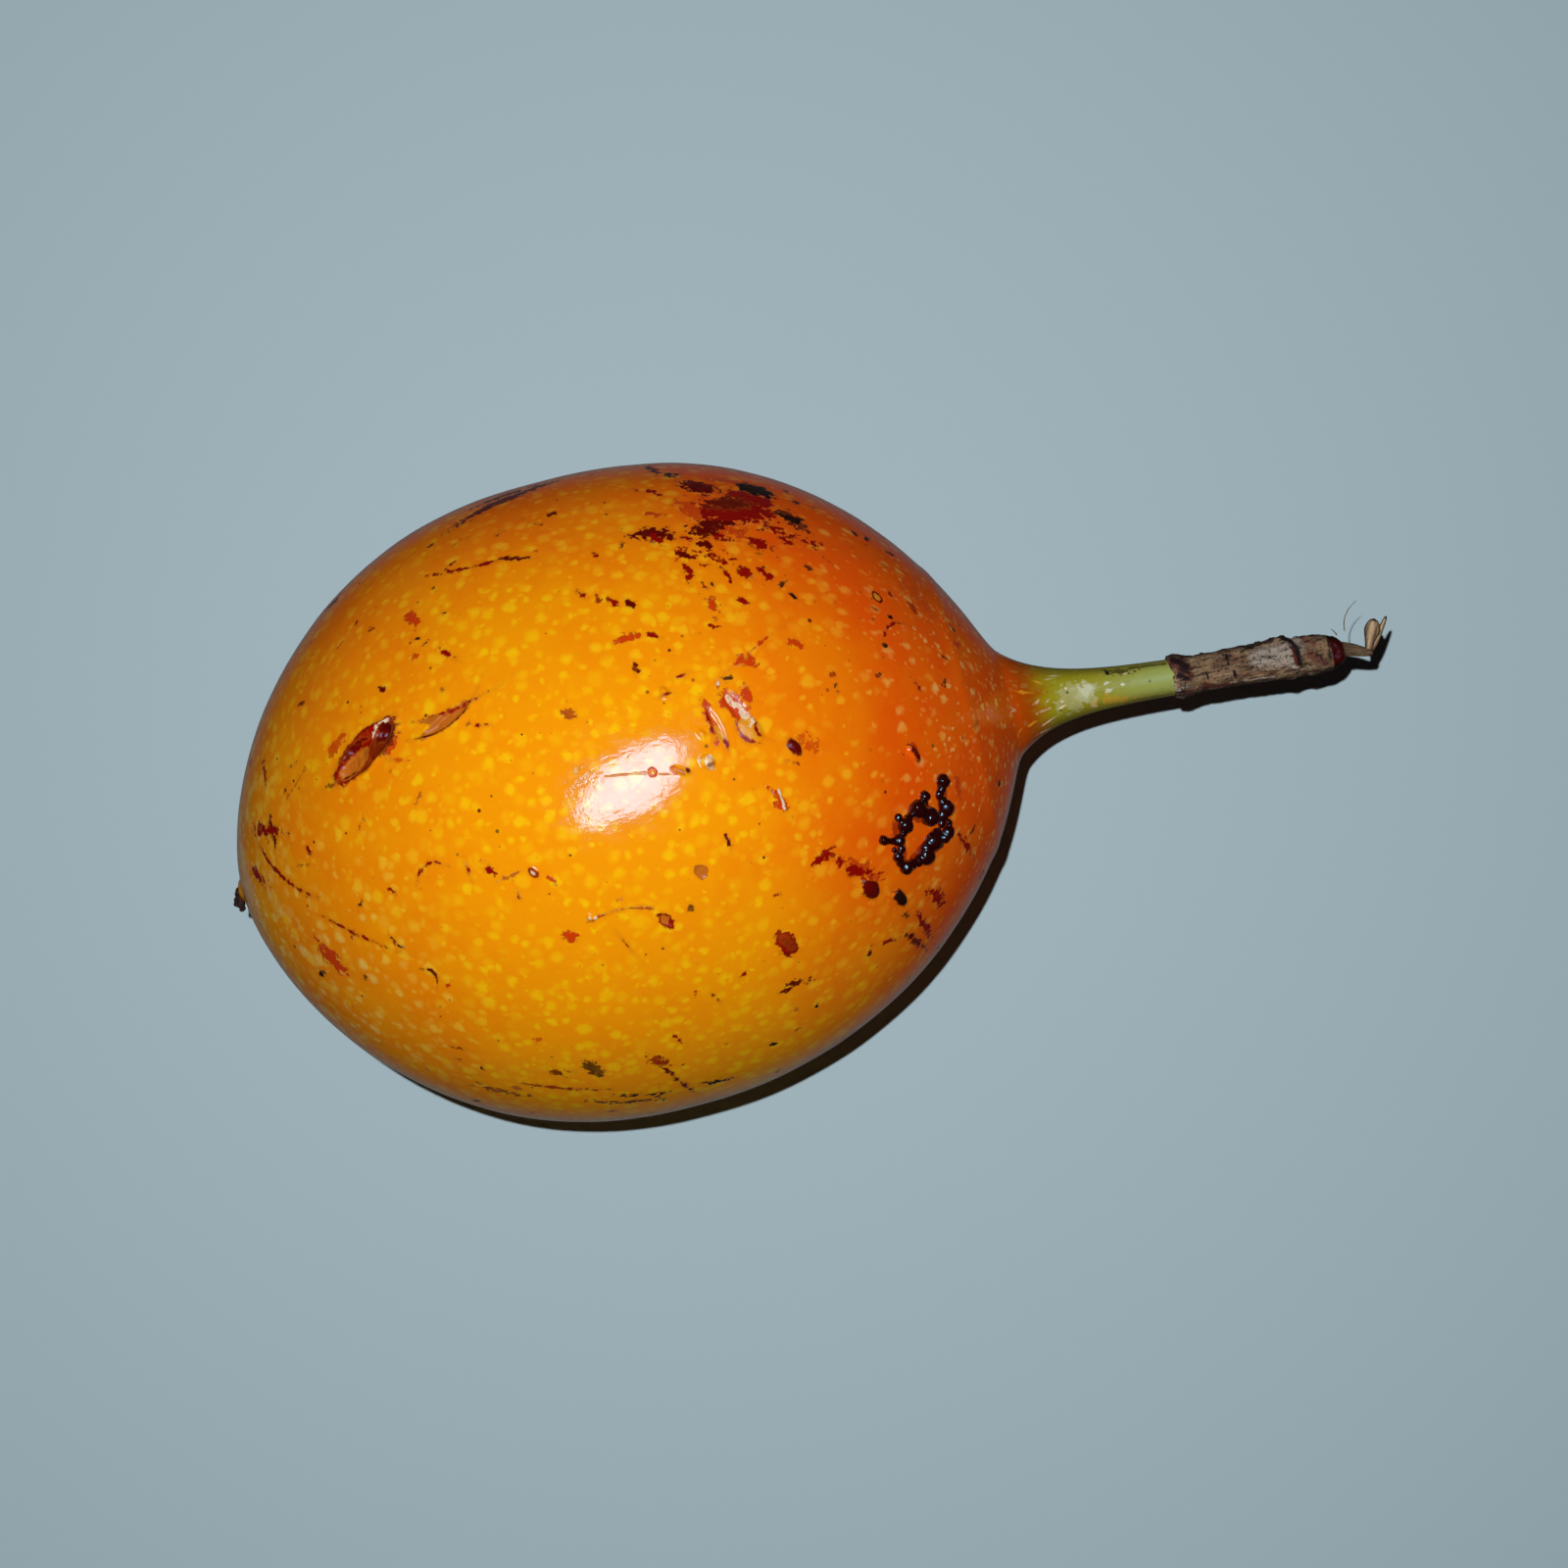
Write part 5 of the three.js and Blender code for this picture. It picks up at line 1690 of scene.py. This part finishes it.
@dataclass
class DriedShoot:
    """The shrivelled stub at the cut end with its two withered scales and a wisp of fibre."""

    shape: FruitShape
    sections: int = 70
    sides: int = 36
    least: float = 0.02
    strands: tuple[Strand, ...] = (
        Strand(
            line=((69.3, -3.5, 0.0), (70.2, -3.75, 0.1), (71.2, -4.2, 0.15), (72.2, -4.55, 0.1)),
            wide=(0.75, 0.6, 0.46, 0.3),
            thick=0.42,
            wrinkle=0.14,
            weathered=0.5,
        ),
        Strand(
            line=((71.6, -4.45, 0.1), (72.0, -3.3, 0.5), (72.4, -2.3, 0.8), (72.8, -1.45, 0.9)),
            wide=(0.25, 0.5, 0.74, 0.3),
            thick=0.14,
            cup=0.3,
            stripe=0.75,
        ),
        Strand(
            line=((71.7, -4.5, 0.0), (72.6, -3.5, 0.1), (73.4, -2.4, 0.2), (74.1, -1.5, 0.25)),
            wide=(0.3, 0.3, 0.26, 0.12),
            thick=0.2,
            cup=0.05,
            stripe=0.9,
        ),
        Strand(
            line=((70.0, -1.9, 0.2), (70.1, -1.0, 0.7), (70.6, -0.1, 1.2), (71.5, 0.55, 1.4)),
            wide=(0.05, 0.045, 0.04, 0.02),
            thick=0.04,
            wrinkle=0.0,
        ),
        Strand(
            line=((69.2, -2.1, 0.3), (69.0, -1.75, 0.6), (68.7, -1.4, 0.8)),
            wide=(0.06, 0.05, 0.02),
            thick=0.05,
            wrinkle=0.0,
        ),
    )

    def strand(self, strand: Strand, seed: float) -> tuple[Array, dict[str, Array]]:
        """Makes one strand.

        Args:
            strand: Its line and sizes.
            seed: Moves its wrinkles and veins.

        Returns:
            Its rings, and what the material reads at each of their points.
        """
        share = np.linspace(0.0, 1.0, self.sections)
        knots = np.linspace(0.0, 1.0, len(strand.line))
        line = np.stack([spline(tuple(zip(knots, axis)), share) for axis in zip(*strand.line)], axis=1)
        line[:, 2] += self.shape.middle(line[:, 0])[:, 2]
        wide = spline(tuple(zip(np.linspace(0.0, 1.0, len(strand.wide)), strand.wide)), share)
        wide = np.maximum(wide * ease(share, 1.02, 0.93), self.least)
        run = np.gradient(line, axis=0)
        run /= np.linalg.norm(run, axis=1, keepdims=True)
        across = np.cross([0.0, 0.0, 1.0], run)
        across /= np.linalg.norm(across, axis=1, keepdims=True)
        lifted = np.cross(run, across)
        turn = np.linspace(0.0, 2 * math.pi, self.sides, endpoint=False)
        side, rise = np.sin(turn), np.cos(turn)
        thick = np.maximum(strand.thick * ease(share, 1.05, 0.9), self.least)
        cup = strand.cup * side[None, :] ** 2 * (wide / max(strand.wide))[:, None]
        rings = line[:, None] + across[:, None] * (wide[:, None] * side)[..., None]
        rings = rings + lifted[:, None] * (thick[:, None] * rise + cup)[..., None]
        flat = rings.reshape(-1, 3)
        wrinkles = strand.wrinkle * rough(flat, 0.35, 3, seed)
        flat = flat + np.repeat(lifted, self.sides, axis=0) * wrinkles[:, None]
        values = self.weathering(strand, share, side)
        length = float(np.linalg.norm(np.diff(line, axis=0), axis=1).sum())
        along, beside = np.repeat(share * length, self.sides), np.outer(wide, side).ravel()
        values["lay"] = np.stack([along, beside, np.full(len(flat), 5.0 * seed)], axis=1)
        return flat.reshape(rings.shape), values

    def weathering(self, strand: Strand, share: Array, side: Array) -> dict[str, Array]:
        """How burnt and how pale each point of a strand is, by its share of the length and its side."""
        tip = np.repeat(ease(share, 0.86, 0.95), self.sides)
        edges = np.tile(ease(np.abs(side), 0.72, 0.9), self.sections) * (strand.stripe > 0.0)
        stripe = np.outer(ease(share, 0.0, 0.25), ease(np.abs(side - 0.1), 0.5, 0.12)).ravel()
        burnt = np.maximum(np.maximum(tip, edges), strand.weathered)
        return {"burnt": burnt, "pale": strand.stripe * stripe}

    def build(self, finish: bpy.types.Material) -> bpy.types.Object:
        """Makes every strand in one mesh and dresses it."""
        points: list[Array] = []
        faces: list[list[int]] = []
        stores: dict[str, list[Array]] = {"burnt": [], "pale": [], "lay": []}
        for number, strand in enumerate(self.strands):
            rings, values = self.strand(strand, 3.0 + number)
            first = sum(len(part) for part in points)
            points.append(with_ends(rings))
            tube = ring_faces(self.sections, self.sides)
            faces.extend([first + vertex for vertex in face] for face in tube)
            for name, value in values.items():
                stores[name].append(np.concatenate([value, value[:1], value[-1:]]))
        piece = mesh_object("dry_shoot", np.vstack(points), faces)
        point_values(piece.data, "burnt", np.concatenate(stores["burnt"]))
        point_values(piece.data, "pale", np.concatenate(stores["pale"]))
        lay = piece.data.attributes.new("lay", "FLOAT_VECTOR", "POINT")
        lay.data.foreach_set("vector", np.concatenate(stores["lay"]).astype(np.float32).ravel())
        finish_piece(piece, finish, "dried_shoot")
        return piece


@dataclass
class Studio:
    """A plain pale floor, a key light beside the camera, a soft card for the gloss and a surround."""

    view: PhotoView
    shape: FruitShape
    floor_size: float = 3000.0
    floor_colour: Colour = (0.447, 0.583, 0.646)
    key_power: float = 0.92
    key_size: float = 2.5
    key_offset: tuple[float, float, float] = (-11.0, 13.5, 30.0)
    card_power: float = 0.49
    card_size: Pixel = (134.0, 73.0)
    card_turn: float = 50.6
    card_seen_at: Pixel = (650.0, 796.0)
    card_colour: Colour = (0.33, 0.75, 1.08)
    surround: float = 0.005
    surround_colour: Colour = (0.86, 0.93, 1.0)
    sheet_glow: float = 0.12
    glow_heights: Pixel = (-0.72, -0.97)

    def build(self) -> None:
        """Sets the floor, the lights, the surround and the view transform up."""
        half = self.floor_size / 2
        corners = np.array([(-half, -half, 0), (half, -half, 0), (half, half, 0), (-half, half, 0)])
        floor = mesh_object("floor", corners, [[0, 1, 2, 3]])
        floor.data.transform(Matrix.Scale(MM, 4))
        shader = Shader("pale_floor")
        sheet = (*self.floor_colour, 1.0)
        floor.data.materials.append(shader.surface(Base_Color=sheet, Roughness=0.8, Specular_IOR_Level=0.0))
        floor.visible_glossy = False
        across, up, over = self.key_offset
        key = self.light("key", self.view.eye + self.view.right * across + self.view.up * up)
        key.location.z += over * MM
        key.data.shape = "DISK"
        key.data.size = self.key_size * MM
        key.data.energy = self.key_power
        key.visible_glossy = False
        card = self.light("gloss_card", self.card_place())
        card.data.shape = "ELLIPSE"
        card.data.size, card.data.size_y = (size * MM for size in self.card_size)
        card.data.energy = self.card_power
        card.data.color = self.card_colour
        card.rotation_euler = (0.0, 0.0, math.radians(self.card_turn))
        card.visible_diffuse = False
        card.visible_camera = False
        self.add_surround()
        bpy.context.scene.view_settings.view_transform = "Standard"

    def add_surround(self) -> None:
        """Makes a dim surround, with the sheet's own glow where gloss looks straight down."""
        world = bpy.data.worlds.new("dim_surround")
        world.use_nodes = True
        sheet = NodeSheet(world.node_tree)
        direction = sheet.node("ShaderNodeTexCoord").outputs["Generated"]
        height = sheet.node("ShaderNodeSeparateXYZ", {0: direction}).outputs[2]
        low, high = self.glow_heights
        glow = {0: height, 1: low, 2: high, 3: self.surround, 4: self.sheet_glow}
        strength = sheet.node("ShaderNodeMapRange", glow, interpolation_type="SMOOTHSTEP").outputs[0]
        backdrop = world.node_tree.nodes["Background"].inputs
        backdrop[0].default_value = (*self.surround_colour, 1.0)
        world.node_tree.links.new(strength, backdrop[1])
        bpy.context.scene.world = world

    def light(self, name: str, place: Array) -> bpy.types.Object:
        """Adds an area light that points down."""
        lamp = bpy.data.objects.new(name, bpy.data.lights.new(name, "AREA"))
        lamp.location = (place * MM).tolist()
        bpy.context.scene.collection.objects.link(lamp)
        return lamp

    def card_place(self) -> Array:
        """Finds where the card stands for the rind to mirror it at its place in the photograph."""
        x, angle = self.view.on_rind(self.shape, self.card_seen_at)
        place = self.shape.skin(np.array([x]), np.array([angle]))[0]
        out = self.shape.outward(np.array([x]), np.array([angle]))[0]
        to_eye = self.view.eye - place
        away = 2.0 * float(out @ to_eye) * out - to_eye
        return place + away * (self.view.eye[2] - place[2]) / away[2]


def main() -> None:
    """Builds every sub-assembly round the frame, in order."""
    logging.basicConfig(level=logging.INFO, format="%(name)s: %(message)s")
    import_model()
    shape = FruitShape()
    view = PhotoView()
    view.add_camera()
    Studio(view, shape).build()
    Fruit(shape, view).build(RindFinish().build())
    GumCrust(shape, view).build(GumFinish().build())
    WitheredStyle(shape).build(StyleFinish().build())
    WoodyStalk(shape, view).build(BarkFinish().build())
    DriedShoot(shape).build(ScaleFinish().build())


if __name__ == "__main__":
    main()
